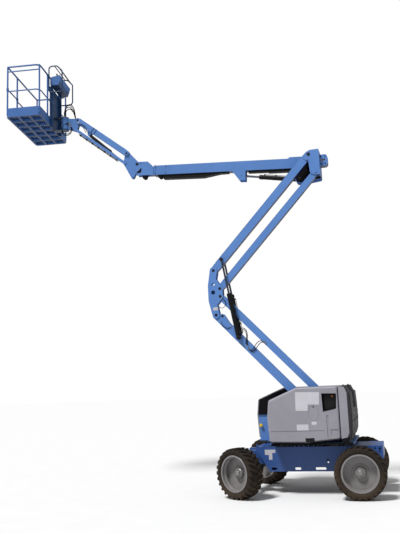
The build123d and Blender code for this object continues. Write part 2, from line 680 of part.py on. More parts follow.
# eyes of the mid pivot's plates, each wrapped to the next: x and z from the lower arm's top pin, radius
MID_EYES = ((0, 0, 72), (68, 300, 75), (70, 590, 75), (MID_RISE[0], MID_RISE[1], 75))
with BuildPart() as mid_pivot:
    for y_high in pair(ARM_Y, PLATE_IN, PLATE):
        for low_eye, high_eye in zip(MID_EYES, MID_EYES[1:]):
            hull_plate(
                [(LOWER_TOP[0] + x, LOWER_TOP[1] + z, radius) for x, z, radius in (low_eye, high_eye)],
                y_high,
                PLATE,
            )
        hull_plate(
            (
                (LOWER_LINK_TOP[0], LOWER_LINK_TOP[1], 56),
                (UPPER_LINK_BOTTOM[0], UPPER_LINK_BOTTOM[1], 56),
                (LOWER_TOP[0] + 50, LOWER_TOP[1] + 200, 60),
                (LOWER_TOP[0] + 55, LOWER_TOP[1] + 730, 60),
            ),
            y_high,
            PLATE,
        )
    with BuildSketch(side(ARM_Y + PLATE_OUT + 1, LOWER_TOP)):
        with Locations((36, 620)):
            SlotOverall(72, 50)
    extrude(amount=2 * PLATE_OUT + 2, mode=Mode.SUBTRACT)
    cross_pin(shifted(LOWER_TOP, (40, 456)), 42, ARM_Y + PLATE_IN - 1, ARM_Y + PLATE_OUT + 1, Mode.SUBTRACT)
    for pin in (UPPER_BOTTOM, LOWER_TOP, LOWER_LINK_TOP, UPPER_LINK_BOTTOM):
        cross_pin(pin, ARM_PIN, ARM_Y - PLATE_OUT, ARM_Y + PLATE_OUT)
    with BuildSketch(side(ARM_Y + PLATE_IN + 1)):
        with Locations((LOWER_TOP[0] + 118, LOWER_TOP[1] + 440)):
            Rectangle(PLATE, 500)
    extrude(amount=2 * PLATE_IN + 2)
mid_pivot.part.label = "mid_pivot"
export_step(mid_pivot.part, "parts/mid_pivot.step")

with BuildPart() as upper_arm:
    box_arm(UPPER_BOTTOM, 180 - ARM_ANGLE, UPPER_LENGTH, ARM_DEPTH, ARM_DEPTH / 2 - 6, ARM_DEPTH / 2 - 6)
upper_arm.part.label = "upper_arm"
export_step(upper_arm.part, "parts/upper_arm.step")

with BuildPart() as upper_link:
    box_arm(UPPER_LINK_BOTTOM, 180 - ARM_ANGLE, UPPER_LENGTH, LINK_DEPTH, 56, 45)
upper_link.part.label = "upper_link"
export_step(upper_link.part, "parts/upper_link.step")


# ---- Lift cylinders between the folding arms -------------------------------------------------------

def pins_angle(low, high):
    """Angle of the line from one pin to another, above +X."""
    return degrees(atan2(high[1] - low[1], high[0] - low[0]))


def pins_length(low, high):
    """Distance between two pins."""
    return Vector(high[0] - low[0], high[1] - low[1]).length


ROD_RADIUS = 20
GLAND = 40               # length of a rod's bearing in the barrel's end
LIFT_Y = PLATE_OUT + 6 + LIFT_RADIUS     # either side of the arms' middle
lift_angle = pins_angle(LIFT_BASE_PIN, LIFT_ROD_PIN)
lift_length = pins_length(LIFT_BASE_PIN, LIFT_ROD_PIN)


def barrel(base_pin, angle, length, radius, rod_radius, eye, eye_width, pin_radius, y):
    """A cylinder barrel with an eye on its base pin, hollow for its rod, on the part being built."""
    end = Plane(origin=(base_pin[0], y, base_pin[1]),
                x_dir=(0, 1, 0), z_dir=(cos(radians(angle)), 0, sin(radians(angle))))
    with BuildSketch(end.offset(eye + 8)) as tube:
        Circle(radius)
    extrude(tube.sketch, amount=length - eye - 8)
    with BuildSketch(side(y + eye_width / 2, base_pin, angle)) as ear:
        Circle(eye)
        with Locations((eye / 2 + 5, 0)):
            Rectangle(eye + 10, 1.4 * eye)
    extrude(ear.sketch, amount=eye_width)
    with BuildSketch(end.offset(eye + 12)) as bore:
        Circle(rod_radius + 8)
    extrude(bore.sketch, amount=length - eye - 12 - GLAND, mode=Mode.SUBTRACT)
    with BuildSketch(end.offset(length - GLAND - 5)) as gland:
        Circle(rod_radius + FIT)
    extrude(gland.sketch, amount=GLAND + 10, mode=Mode.SUBTRACT)
    cross_pin(base_pin, pin_radius + FIT, y - eye_width, y + eye_width, Mode.SUBTRACT)


def rod(rod_pin, angle, length, rod_radius, eye, eye_width, pin_radius, y):
    """A rod that points back down its barrel from an eye on its pin."""
    end = Plane(origin=(rod_pin[0], y, rod_pin[1]),
                x_dir=(0, 1, 0), z_dir=(-cos(radians(angle)), 0, -sin(radians(angle))))
    with BuildSketch(end) as shaft:
        Circle(rod_radius)
    extrude(shaft.sketch, amount=length)
    with BuildSketch(side(y + eye_width / 2, rod_pin, angle)) as ear:
        Circle(eye)
    extrude(ear.sketch, amount=eye_width)
    cross_pin(rod_pin, pin_radius + FIT, y - eye_width, y + eye_width, Mode.SUBTRACT)


LIFT_PIN = 20
LIFT_EYE = 36
LIFT_ROD_END = 565       # from the barrel's pin to the rod's inner end
with BuildPart() as lift_barrels:
    for hand in (1, -1):
        barrel(LIFT_BASE_PIN, lift_angle, LIFT_BARREL, LIFT_RADIUS, ROD_RADIUS, LIFT_EYE + 6, 60, LIFT_PIN,
               ARM_Y + hand * LIFT_Y)
lift_barrels.part.label = "lift_barrels"
export_step(lift_barrels.part, "parts/lift_barrels.step")

with BuildPart() as lift_rods:
    for hand in (1, -1):
        rod(LIFT_ROD_PIN, lift_angle, lift_length - LIFT_ROD_END, ROD_RADIUS, LIFT_EYE, 50, LIFT_PIN,
            ARM_Y + hand * LIFT_Y)
        # the rod's eye carries its own pin, which ends at the arm's side
        pin_start = ARM_Y + hand * (ARM_HALF + 0.5)
        pin_end = ARM_Y + hand * (LIFT_Y + 30)
        cross_pin(LIFT_ROD_PIN, LIFT_PIN + 1, min(pin_start, pin_end), max(pin_start, pin_end))
lift_rods.part.label = "lift_rods"
export_step(lift_rods.part, "parts/lift_rods.step")


# ---- Riser at the top of the folding arms ----------------------------------------------------------

BOOM_HALF = BOOM_WIDTH / 2
BOOM_CHEEK = BOOM_HALF + SIDE_GAP      # boom's middle to the riser's inner faces
BOOM_BASE_SHIFT = (250, -313)          # from the boom's pivot to its lift cylinder's lower pin
BOOM_BASE_PIN = shifted(BOOM_PIVOT, BOOM_BASE_SHIFT)
RISER_BACK = UPPER_TOP[0] - 191

with BuildPart() as riser:
    for y_high in pair(ARM_Y, PLATE_IN, PLATE):
        with BuildSketch(side(y_high, UPPER_TOP)):
            with BuildLine():
                Polyline(
                    (-191, 84),
                    (-19, 84),
                    (106, -62),
                    (66, -120),
                    (10, -110),
                    (-4, -340),
                    (-20, -395),
                    (-70, -425),
                    (-150, -436),
                    (-191, -436),
                    close=True,
                )
            make_face()
        extrude(amount=PLATE)
    for y_high in pair(BOOM_Y, BOOM_CHEEK, PLATE):
        with BuildSketch(side(y_high, UPPER_TOP)):
            with BuildLine():
                Polyline(
                    (-191, 84),
                    (-60, 84),
                    (60, -30),
                    (300, -330),
                    (330, -400),
                    (290, -480),
                    (200, -500),
                    (-191, -460),
                    close=True,
                )
            make_face()
        extrude(amount=PLATE)
    with BuildSketch(Plane.XY.offset(UPPER_TOP[1] - 436)):
        with Locations((RISER_BACK - PLATE / 2, (ARM_Y + PLATE_OUT + BOOM_Y - BOOM_CHEEK - PLATE) / 2)):
            Rectangle(PLATE, ARM_Y + PLATE_OUT - BOOM_Y + BOOM_CHEEK + PLATE)
    extrude(amount=436 + 84)
    for pin in (UPPER_TOP, UPPER_LINK_TOP):
        cross_pin(pin, ARM_PIN, ARM_Y - PLATE_OUT, ARM_Y + PLATE_OUT + 10)
    for pin in (BOOM_PIVOT, BOOM_BASE_PIN):
        cross_pin(pin, ARM_PIN, BOOM_Y - BOOM_CHEEK - PLATE, BOOM_Y + BOOM_CHEEK + PLATE)
riser.part.label = "riser"
export_step(riser.part, "parts/riser.step")

with BuildPart() as hose_guard:
    with BuildSketch(side(60, (RISER_BACK - PLATE, UPPER_TOP[1] - 115))):
        with Locations((-76, 0)):
            RectangleRounded(152, 235, 60)
        with Locations((-37, 0)):
            Rectangle(74, 235)
        with Locations((-60, 5)):
            SlotOverall(104, 44, mode=Mode.SUBTRACT)
    extrude(amount=150)
hose_guard.part.label = "hose_guard"
export_step(hose_guard.part, "parts/hose_guard.step")


# ---- Telescopic boom -------------------------------------------------------------------------------

EXT_WIDTH = 118
EXT_DEPTH = 175
BOOM_ROD = (1443, -194)                # boom's lift cylinder's upper pin, along and across the boom
BOOM_ROD_PIN = reach(BOOM_PIVOT, BOOM_ANGLE, *BOOM_ROD)
GUSSET = 8
PIN_HEAD = 6
COLLAR = 30
TIP_PLATE = 12

with BuildPart() as primary_boom:
    with BuildSketch(side(BOOM_Y + BOOM_HALF, BOOM_PIVOT, BOOM_ANGLE)):
        with Locations(((BOOM_FRONT - BOOM_TAIL) / 2, 0)):
            Rectangle(BOOM_FRONT + BOOM_TAIL, BOOM_DEPTH)
        with BuildLine():
            Polyline(
                (-BOOM_TAIL, BOOM_DEPTH / 2 - 1),
                (-BOOM_TAIL, BOOM_DEPTH / 2 + 30),
                (440, BOOM_DEPTH / 2 + 30),
                (485, BOOM_DEPTH / 2 - 1),
                close=True,
            )
        make_face()
    extrude(amount=BOOM_WIDTH)
    bore_plane = Plane(origin=(BOOM_PIVOT[0], BOOM_Y, BOOM_PIVOT[1]), x_dir=(0, 1, 0),
                       z_dir=(cos(radians(BOOM_ANGLE)), 0, sin(radians(BOOM_ANGLE))))
    with BuildSketch(bore_plane.offset(95)):
        Rectangle(BOOM_WIDTH - 2 * BOOM_WALL, BOOM_DEPTH - 2 * BOOM_WALL)
    extrude(amount=BOOM_FRONT - 95 - 120, mode=Mode.SUBTRACT)
    with BuildSketch(bore_plane.offset(BOOM_FRONT - 130)):
        Rectangle(EXT_WIDTH + 2 * SLIDE_GAP, EXT_DEPTH + 2 * SLIDE_GAP)
    extrude(amount=140, mode=Mode.SUBTRACT)
    # collar round the front end
    with BuildSketch(bore_plane.offset(BOOM_FRONT - COLLAR)):
        Rectangle(BOOM_WIDTH + 16, BOOM_DEPTH + 16)
        Rectangle(BOOM_WIDTH - 4, BOOM_DEPTH - 4, mode=Mode.SUBTRACT)
    extrude(amount=COLLAR)
    for y_high in pair(BOOM_Y, BOOM_HALF, GUSSET):
        with BuildSketch(side(y_high, BOOM_PIVOT, BOOM_ANGLE)):
            with BuildLine():
                Polyline(
                    (1666, -67),
                    (1476, -307),
                    (1350, -309),
                    (1350, -90),
                    (1400, -67),
                    close=True,
                )
            make_face()
        extrude(amount=GUSSET)
    for y_low in (BOOM_Y + BOOM_HALF, BOOM_Y - BOOM_HALF - GUSSET - PIN_HEAD):
        cross_pin(BOOM_ROD_PIN, LIFT_PIN, y_low, y_low + GUSSET + PIN_HEAD)
    cross_pin(BOOM_PIVOT, ARM_PIN + FIT, BOOM_Y - BOOM_WIDTH, BOOM_Y + BOOM_WIDTH, Mode.SUBTRACT)
primary_boom.part.label = "primary_boom"
export_step(primary_boom.part, "parts/primary_boom.step")

with BuildPart() as boom_tray:
    with BuildSketch(side(BOOM_Y + 55, BOOM_PIVOT, BOOM_ANGLE)):
        with BuildLine():
            Polyline(
                (3180, -BOOM_DEPTH / 2),
                (3150, -BOOM_DEPTH / 2 - 90),
                (2260, -BOOM_DEPTH / 2 - 95),
                (1900, -BOOM_DEPTH / 2 - 30),
                (1720, -BOOM_DEPTH / 2 - 25),
                (1720, -BOOM_DEPTH / 2),
                close=True,
            )
        make_face()
    extrude(amount=110)
    with BuildSketch(side(BOOM_Y + 55, BOOM_PIVOT, BOOM_ANGLE)):
        with BuildLine():
            Polyline(
                (1300, -BOOM_DEPTH / 2),
                (1300, -BOOM_DEPTH / 2 - 38),
                (880, -BOOM_DEPTH / 2 - 40),
                (880, -BOOM_DEPTH / 2 - 56),
                (420, -BOOM_DEPTH / 2 - 56),
                (420, -BOOM_DEPTH / 2),
                close=True,
            )
        make_face()
    extrude(amount=110)
boom_tray.part.label = "boom_tray"
export_step(boom_tray.part, "parts/boom_tray.step")

with BuildPart() as extension:
    with BuildSketch(bore_plane.offset(350)):
        Rectangle(EXT_WIDTH, EXT_DEPTH)
    extrude(amount=BOOM_FRONT + 95 - 350)
    with BuildSketch(bore_plane.offset(350)):
        Rectangle(BOOM_WIDTH - 2 * BOOM_WALL - 2 * SLIDE_GAP, BOOM_DEPTH - 2 * BOOM_WALL - 2 * SLIDE_GAP)
    extrude(amount=150)
    with BuildSketch(bore_plane.offset(340)):
        Rectangle(EXT_WIDTH - 2 * BOOM_WALL, EXT_DEPTH - 2 * BOOM_WALL)
    extrude(amount=BOOM_FRONT + 95 - 350, mode=Mode.SUBTRACT)
    for y_high in pair(BOOM_Y, 56, TIP_PLATE):
        with BuildSketch(side(y_high, BOOM_PIVOT, BOOM_ANGLE)):
            with BuildLine():
                Polyline(
                    (BOOM_FRONT + 18, -97),
                    (BOOM_FRONT + 18, 72),
                    (BOOM_FRONT + 162, 207),
                    (BOOM_FRONT + TIP_LENGTH, 210),
                    (BOOM_FRONT + TIP_LENGTH, 60),
                    (BOOM_FRONT + TIP_LENGTH - 45, -99),
                    close=True,
                )
            make_face()
        extrude(amount=TIP_PLATE)
    with BuildSketch(side(BOOM_Y + 60, BOOM_PIVOT, BOOM_ANGLE)):
        with Locations((BOOM_FRONT + 56, 0)):
            Rectangle(76, 190)
    extrude(amount=120)
    cross_pin(TIP_PIN, ARM_PIN, BOOM_Y - 68, BOOM_Y + 74)
extension.part.label = "extension"
export_step(extension.part, "parts/extension.step")

BOOM_LIFT_RADIUS = 45
boom_lift_angle = pins_angle(BOOM_BASE_PIN, BOOM_ROD_PIN)
boom_lift_length = pins_length(BOOM_BASE_PIN, BOOM_ROD_PIN)

with BuildPart() as boom_barrel:
    barrel(BOOM_BASE_PIN, boom_lift_angle, 850, BOOM_LIFT_RADIUS, 22, 50, 120, ARM_PIN, BOOM_Y)
boom_barrel.part.label = "boom_barrel"
export_step(boom_barrel.part, "parts/boom_barrel.step")

with BuildPart() as boom_rod:
    rod(BOOM_ROD_PIN, boom_lift_angle, boom_lift_length - 170, 22, 36, 120, LIFT_PIN, BOOM_Y)
    # the rod's eye carries its own pin, which ends at the gussets
    cross_pin(BOOM_ROD_PIN, LIFT_PIN + 1, BOOM_Y - BOOM_HALF + 0.5, BOOM_Y + BOOM_HALF - 0.5)
boom_rod.part.label = "boom_rod"
export_step(boom_rod.part, "parts/boom_rod.step")


# ---- Bellcrank, jib and platform head ----------------------------------------------------------------

EYE_IN = 22              # inner faces of the bellcrank's and the head's plates
EYE_OUT = 34
LINK_IN = 39             # jib link bars
LINK_OUT = 51
CHANNEL_IN = 57          # jib arm's side plates
CHANNEL_OUT = 67
JIB_ROD = (1058, -121)   # jib cylinder's pin on the arm, along and across it
JIB_BARREL = 690         # from that pin to the gland
JIB_BARREL_PIN = reach(JIB_PIVOT, JIB_ANGLE, *JIB_ROD)
LEVEL_PIN = shifted(TIP_PIN, (117, -269))

with BuildPart() as bellcrank:
    for y_high in (BOOM_Y + EYE_OUT, BOOM_Y - EYE_IN):
        hull_plate(
            (
                (JIB_PIVOT[0], JIB_PIVOT[1], JIB_LOW),
                (TIP_PIN[0], TIP_PIN[1], 50),
                (JIB_LINK_PIVOT[0], JIB_LINK_PIVOT[1], 35),
                (LEVEL_PIN[0], LEVEL_PIN[1], 35),
            ),
            y_high,
            EYE_OUT - EYE_IN,
        )
    cross_pin(TIP_PIN, 45, BOOM_Y - 52, BOOM_Y + 52)
    cross_pin(JIB_PIVOT, JIB_PIN, BOOM_Y - CHANNEL_OUT, BOOM_Y + CHANNEL_OUT)
    for y_low in (BOOM_Y + EYE_IN, BOOM_Y - LINK_OUT):
        cross_pin(JIB_LINK_PIVOT, JIB_PIN, y_low, y_low + LINK_OUT - EYE_IN)
    cross_pin(LEVEL_PIN, JIB_PIN, BOOM_Y - 50, BOOM_Y + 50)
    cross_pin(TIP_PIN, ARM_PIN + FIT, BOOM_Y - 80, BOOM_Y + 80, Mode.SUBTRACT)
bellcrank.part.label = "bellcrank"
export_step(bellcrank.part, "parts/bellcrank.step")

with BuildPart() as jib_arm:
    with BuildSketch(side(BOOM_Y + CHANNEL_OUT, JIB_PIVOT, JIB_ANGLE)):
        with Locations((JIB_LENGTH / 2, 0)):
            Rectangle(JIB_LENGTH - 90, JIB_DEPTH)
        Circle(50)
        with Locations((JIB_LENGTH, 0)):
            Circle(50)
        make_hull()
    extrude(amount=2 * CHANNEL_OUT)
    with BuildSketch(side(BOOM_Y + CHANNEL_IN, JIB_PIVOT, JIB_ANGLE)):
        with Locations((JIB_LENGTH / 2, -10)):
            Rectangle(JIB_LENGTH + 200, JIB_DEPTH)
        with Locations((0, 0), (JIB_LENGTH, 0)):
            Rectangle(180, 200)
    extrude(amount=2 * CHANNEL_IN, mode=Mode.SUBTRACT)
    for y_high in (BOOM_Y + EYE_OUT, BOOM_Y - EYE_IN):
        with BuildSketch(side(y_high, JIB_PIVOT, JIB_ANGLE)):
            with BuildLine():
                Polyline(
                    (JIB_ROD[0] - 70, JIB_DEPTH / 2 - 5),
                    (JIB_ROD[0] + 150, JIB_DEPTH / 2 - 5),
                    (JIB_ROD[0] + 130, -20),
                    (JIB_ROD[0] + 36, JIB_ROD[1] - 20),
                    (JIB_ROD[0] - 10, JIB_ROD[1] - 32),
                    (JIB_ROD[0] - 28, JIB_ROD[1] - 5),
                    (JIB_ROD[0] - 36, JIB_ROD[1] + 45),
                    close=True,
                )
            make_face()
        extrude(amount=EYE_OUT - EYE_IN)
    cross_pin(JIB_BARREL_PIN, JIB_PIN, BOOM_Y - EYE_OUT, BOOM_Y + EYE_OUT)
    for pin in (JIB_PIVOT, JIB_TOP):
        cross_pin(pin, JIB_PIN + FIT, BOOM_Y - 90, BOOM_Y + 90, Mode.SUBTRACT)
jib_arm.part.label = "jib_arm"
export_step(jib_arm.part, "parts/jib_arm.step")

with BuildPart() as jib_link:
    for y_high in (BOOM_Y + LINK_OUT, BOOM_Y - LINK_IN):
        with BuildSketch(side(y_high, JIB_LINK_PIVOT, JIB_ANGLE)):
            SlotCenterPoint((JIB_LENGTH / 2, 0), (JIB_LENGTH, 0), 60)
        extrude(amount=LINK_OUT - LINK_IN)
    for pin in (JIB_LINK_PIVOT, JIB_LINK_TOP):
        cross_pin(pin, JIB_PIN + FIT, BOOM_Y - 90, BOOM_Y + 90, Mode.SUBTRACT)
jib_link.part.label = "jib_link"
export_step(jib_link.part, "parts/jib_link.step")

jib_lift_angle = pins_angle(JIB_BARREL_PIN, JIB_LINK_PIVOT)
jib_lift_length = pins_length(JIB_BARREL_PIN, JIB_LINK_PIVOT)

with BuildPart() as jib_barrel:
    barrel(JIB_BARREL_PIN, jib_lift_angle, JIB_BARREL, 33, 15, 32, 42, JIB_PIN, BOOM_Y)
jib_barrel.part.label = "jib_barrel"
export_step(jib_barrel.part, "parts/jib_barrel.step")

with BuildPart() as jib_rod:
    rod(JIB_LINK_PIVOT, jib_lift_angle, jib_lift_length - 450, 15, 30, 42, JIB_PIN, BOOM_Y)
    # this eye carries its own pin too, between the bellcrank's plates
    cross_pin(JIB_LINK_PIVOT, JIB_PIN + 1, BOOM_Y - EYE_IN + 1, BOOM_Y + EYE_IN - 1)
jib_rod.part.label = "jib_rod"
export_step(jib_rod.part, "parts/jib_rod.step")

ROTATOR_BOTTOM = PLATFORM_BOTTOM - 38
ROTATOR_HEIGHT = 280
ROTATOR_RADIUS = 85
ROTATOR_PIN = 30

with BuildPart() as jib_head:
    for y_high in (BOOM_Y + EYE_OUT, BOOM_Y - EYE_IN):
        hull_plate(
            (
                (JIB_TOP[0], JIB_TOP[1], JIB_LOW),
                (JIB_LINK_TOP[0], JIB_LINK_TOP[1], 35),
                (ROTATOR_X - 50, ROTATOR_BOTTOM + 40, 20),
                (ROTATOR_X - 50, ROTATOR_BOTTOM + ROTATOR_HEIGHT - 40, 20),
            ),
            y_high,
            EYE_OUT - EYE_IN,
        )
    with BuildSketch(Plane.XY.offset(ROTATOR_BOTTOM)):
        with Locations((ROTATOR_X, BOOM_Y)):
            Circle(ROTATOR_RADIUS)
            Circle(ROTATOR_PIN + FIT, mode=Mode.SUBTRACT)
    extrude(amount=ROTATOR_HEIGHT)
    cross_pin(JIB_TOP, JIB_PIN, BOOM_Y - CHANNEL_OUT, BOOM_Y + CHANNEL_OUT)
    cross_pin(JIB_LINK_TOP, JIB_PIN, BOOM_Y - LINK_OUT, BOOM_Y + LINK_OUT)
jib_head.part.label = "jib_head"
export_step(jib_head.part, "parts/jib_head.step")


# ---- Platform ----------------------------------------------------------------------------------------

# The platform is drawn square to the machine and turned about the rotator as it is written.
DECK_X = ROTATOR_X + PLATFORM_OUT
HALF_LONG = PLATFORM_LENGTH / 2
HALF_WIDE = PLATFORM_WIDTH / 2
FRAME_DEPTH = 50
FLOOR = 6
TOE = 150
THIN_RAIL = 14
CROSS_RAIL = 11
rotator_axis = Axis((ROTATOR_X, BOOM_Y, 0), (0, 0, 1))


def on_platform(out, along, up):
    """A point from the middle of the platform's underside, outwards, to the left, and up."""
    return (DECK_X + out, BOOM_Y + along, PLATFORM_BOTTOM + up)


def write_turned(part, name):
    """Turn a finished piece of the platform about the rotator and write it."""
    turned = part.rotate(rotator_axis, PLATFORM_TURN)
    turned.label = name
    export_step(turned, f"parts/{name}.step")


def rail(points, bend, radius, closed=False):
    """A bent round rail through points, on the part being built."""
    with BuildLine() as path:
        FilletPolyline(*points, radius=bend, close=closed)
    with BuildSketch(Plane(origin=path.line @ 0, z_dir=path.line % 0)) as section:
        Circle(radius)
    sweep(section.sketch, path=path.line)


RAIL_IN = RAIL_RADIUS + 2
ENTRY_POST = HALF_LONG - 560           # the post that the entry bar closes on
RAIL_TOP = PLATFORM_HEIGHT - RAIL_RADIUS
MID_RAIL = 600

with BuildPart() as platform:
    # floor on a frame of beams
    with BuildSketch(Plane.XY.offset(PLATFORM_BOTTOM)):
        with Locations((DECK_X, BOOM_Y)):
            RectangleRounded(PLATFORM_WIDTH, PLATFORM_LENGTH, 60)
    extrude(amount=FRAME_DEPTH + FLOOR)
    with BuildSketch(Plane.XY.offset(PLATFORM_BOTTOM - 5)):
        with Locations((DECK_X, BOOM_Y)):
            with GridLocations(PLATFORM_WIDTH / 3 - 6, PLATFORM_LENGTH / 6 - 4, 3, 6):
                Rectangle(200, 262)
    extrude(amount=FRAME_DEPTH + 5, mode=Mode.SUBTRACT)
    # toe board
    with BuildSketch(Plane.XY.offset(PLATFORM_BOTTOM + FRAME_DEPTH)):
        with Locations((DECK_X, BOOM_Y)):
            RectangleRounded(PLATFORM_WIDTH, PLATFORM_LENGTH, 60)
            RectangleRounded(PLATFORM_WIDTH - 10, PLATFORM_LENGTH - 10, 55, mode=Mode.SUBTRACT)
    extrude(amount=TOE)
    out = HALF_WIDE - RAIL_IN
    end = HALF_LONG - RAIL_IN
    corners = ((out, end), (-out, end), (-out, -end), (out, -end))
    for post_out, post_along in corners + ((out, ENTRY_POST), (-out, 380), (-out, -380)):
        bar(on_platform(post_out, post_along, FRAME_DEPTH), on_platform(post_out, post_along, RAIL_TOP),
            RAIL_RADIUS)
    for height, thickness in ((RAIL_TOP, RAIL_RADIUS), (MID_RAIL, THIN_RAIL)):
        rail(
            (
                on_platform(out, ENTRY_POST, height),
                on_platform(out, -end, height),
                on_platform(-out, -end, height),
                on_platform(-out, end, height),
                on_platform(out, end, height),
            ),
            (60, 110, 110),
            thickness,
        )
    bar(on_platform(out, ENTRY_POST, RAIL_TOP), on_platform(out, end, RAIL_TOP), RAIL_RADIUS)
    bar(on_platform(out, end, RAIL_TOP - 110), on_platform(-out, end, RAIL_TOP - 110), THIN_RAIL)
write_turned(platform.part, "platform")

ENTRY_SLEEVE = 26
with BuildPart() as entry_bar:
    for along in (end, ENTRY_POST):
        with BuildSketch(Plane.XY.offset(PLATFORM_BOTTOM + MID_RAIL + 16)):
            with Locations((DECK_X + out, BOOM_Y + along)):
                Circle(ENTRY_SLEEVE)
        extrude(amount=60)
    bar(on_platform(out, ENTRY_POST, MID_RAIL + 46), on_platform(out, end, MID_RAIL + 46), THIN_RAIL)
    for along in (end, ENTRY_POST):
        with BuildSketch(Plane.XY.offset(PLATFORM_BOTTOM + MID_RAIL)):
            with Locations((DECK_X + out, BOOM_Y + along)):
                Circle(RAIL_RADIUS + FIT)
        extrude(amount=100, mode=Mode.SUBTRACT)
write_turned(entry_bar.part, "entry_bar")

SUPPORT_OUT = -HALF_WIDE - 0.3         # the support's face against the platform
HOOP_OUT = SUPPORT_OUT - THIN_RAIL
FORK = 15
FORK_GAP = 0.3
FORK_BOTTOM = ROTATOR_BOTTOM - FORK - FORK_GAP
CONSOLE_UP = 920         # underside of the controls, above the platform's underside
CONSOLE_HALF = 345
SUPPORT_WIDTH = 600      # of the upright panel
with BuildPart() as platform_support:
    with BuildSketch(Plane.XY.offset(FORK_BOTTOM)):
        with Locations((DECK_X + SUPPORT_OUT - 40, BOOM_Y)):
            Rectangle(80, SUPPORT_WIDTH)
            with Locations((-10, 0)):
                Rectangle(70, SUPPORT_WIDTH - 40, mode=Mode.SUBTRACT)
    extrude(amount=CONSOLE_UP + PLATFORM_BOTTOM - FORK_BOTTOM)
    for arm_z in (FORK_BOTTOM, ROTATOR_BOTTOM + ROTATOR_HEIGHT + FORK_GAP):
        with BuildSketch(Plane.XY.offset(arm_z)):
            with Locations((ROTATOR_X, BOOM_Y)):
                Circle(80)
            with Locations(((ROTATOR_X + DECK_X + SUPPORT_OUT) / 2, BOOM_Y)):
                Rectangle(DECK_X + SUPPORT_OUT - ROTATOR_X, 160)
        extrude(amount=FORK)
    with BuildSketch(Plane.XY.offset(FORK_BOTTOM)):
        with Locations((ROTATOR_X, BOOM_Y)):
            Circle(ROTATOR_PIN)
    extrude(amount=ROTATOR_HEIGHT + 2 * FORK)
    # hoops that guard the controls
    for along in (380, -380):
        rail(
            (
                on_platform(HOOP_OUT, along, 735),
                on_platform(HOOP_OUT - 306, along, 735),
                on_platform(HOOP_OUT - 306, along, 1230),
                on_platform(HOOP_OUT - 186, along, 1360),
                on_platform(HOOP_OUT, along, 1360),
            ),
            (60, 80, 60, 60, 70),
            THIN_RAIL,
            closed=True,
        )
    # sloping sheet between the hoops' upper corners
    with BuildSketch(side(BOOM_Y + 380, (DECK_X + HOOP_OUT, PLATFORM_BOTTOM))):
        with BuildLine():
            Polyline((-200, 1352), (-300, 1243), (-297, 1238), (-195, 1349), close=True)
        make_face()
    extrude(amount=760)
    for bar_out, bar_up in ((0, 800), (-130, 1360)):
        bar(on_platform(HOOP_OUT + bar_out, -380, bar_up), on_platform(HOOP_OUT + bar_out, 380, bar_up),
            CROSS_RAIL)
write_turned(platform_support.part, "platform_support")

with BuildPart() as controls:
    with BuildSketch(side(BOOM_Y + CONSOLE_HALF, (DECK_X + SUPPORT_OUT, PLATFORM_BOTTOM + CONSOLE_UP))):
        with BuildLine():
            FilletPolyline((-30, 0), (-30, 150), (-60, 200), (-250, 230), (-276, 200), (-250, 90), (-215, 0),
                           radius=10, close=True)
        make_face()
    extrude(amount=2 * CONSOLE_HALF)
write_turned(controls.part, "controls")
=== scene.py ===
import json
import math

import bmesh
import bpy
from mathutils import Matrix, Vector


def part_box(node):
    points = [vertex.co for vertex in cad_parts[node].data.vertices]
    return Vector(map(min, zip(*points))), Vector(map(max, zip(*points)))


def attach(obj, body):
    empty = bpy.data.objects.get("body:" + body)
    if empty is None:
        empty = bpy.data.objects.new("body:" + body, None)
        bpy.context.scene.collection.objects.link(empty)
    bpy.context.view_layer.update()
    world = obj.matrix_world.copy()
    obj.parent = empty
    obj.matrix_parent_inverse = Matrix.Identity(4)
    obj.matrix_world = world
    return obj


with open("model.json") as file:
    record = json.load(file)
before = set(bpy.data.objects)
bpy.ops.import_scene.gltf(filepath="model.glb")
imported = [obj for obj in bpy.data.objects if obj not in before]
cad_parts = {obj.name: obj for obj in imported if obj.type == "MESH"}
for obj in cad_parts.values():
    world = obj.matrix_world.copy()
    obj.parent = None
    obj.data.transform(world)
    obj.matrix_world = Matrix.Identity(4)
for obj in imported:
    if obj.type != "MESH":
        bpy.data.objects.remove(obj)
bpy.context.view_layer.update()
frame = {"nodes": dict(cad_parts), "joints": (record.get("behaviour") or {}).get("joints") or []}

node = frame["nodes"]
pin_of = {joint["name"]: Vector(joint["pos_m"]) for joint in frame["joints"]}

# Studio: a matt pale floor under the tyres, one large soft lamp high at the machine's left front, and
# an even pale sky. The camera stands about 13 m off the machine's left side and looks up at it.
eye = Vector((-4.15, 13.19, 2.019))
yaw, pitch, roll = math.radians(15.78), math.radians(9.89), math.radians(-2.28)
ahead = Vector((math.sin(yaw) * math.cos(pitch), -math.cos(yaw) * math.cos(pitch), math.sin(pitch)))
level = ahead.cross(Vector((0, 0, 1))).normalized()
above = level.cross(ahead)
right = math.cos(roll) * level + math.sin(roll) * above
up = -math.sin(roll) * level + math.cos(roll) * above
camera = bpy.data.objects.new("camera", bpy.data.cameras.new("camera"))
camera.data.sensor_width = 36
camera.data.lens = 45.827392
camera.data.clip_end = 200
camera.matrix_world = Matrix((
    (right.x, up.x, -ahead.x, eye.x),
    (right.y, up.y, -ahead.y, eye.y),
    (right.z, up.z, -ahead.z, eye.z),
    (0, 0, 0, 1),
))
bpy.context.collection.objects.link(camera)
bpy.context.scene.camera = camera

floor_mesh = bpy.data.meshes.new("floor")
floor_mesh.from_pydata([(-90, -90, 0), (90, -90, 0), (90, 90, 0), (-90, 90, 0)], [], [(0, 1, 2, 3)])
floor = bpy.data.objects.new("floor", floor_mesh)
bpy.context.collection.objects.link(floor)

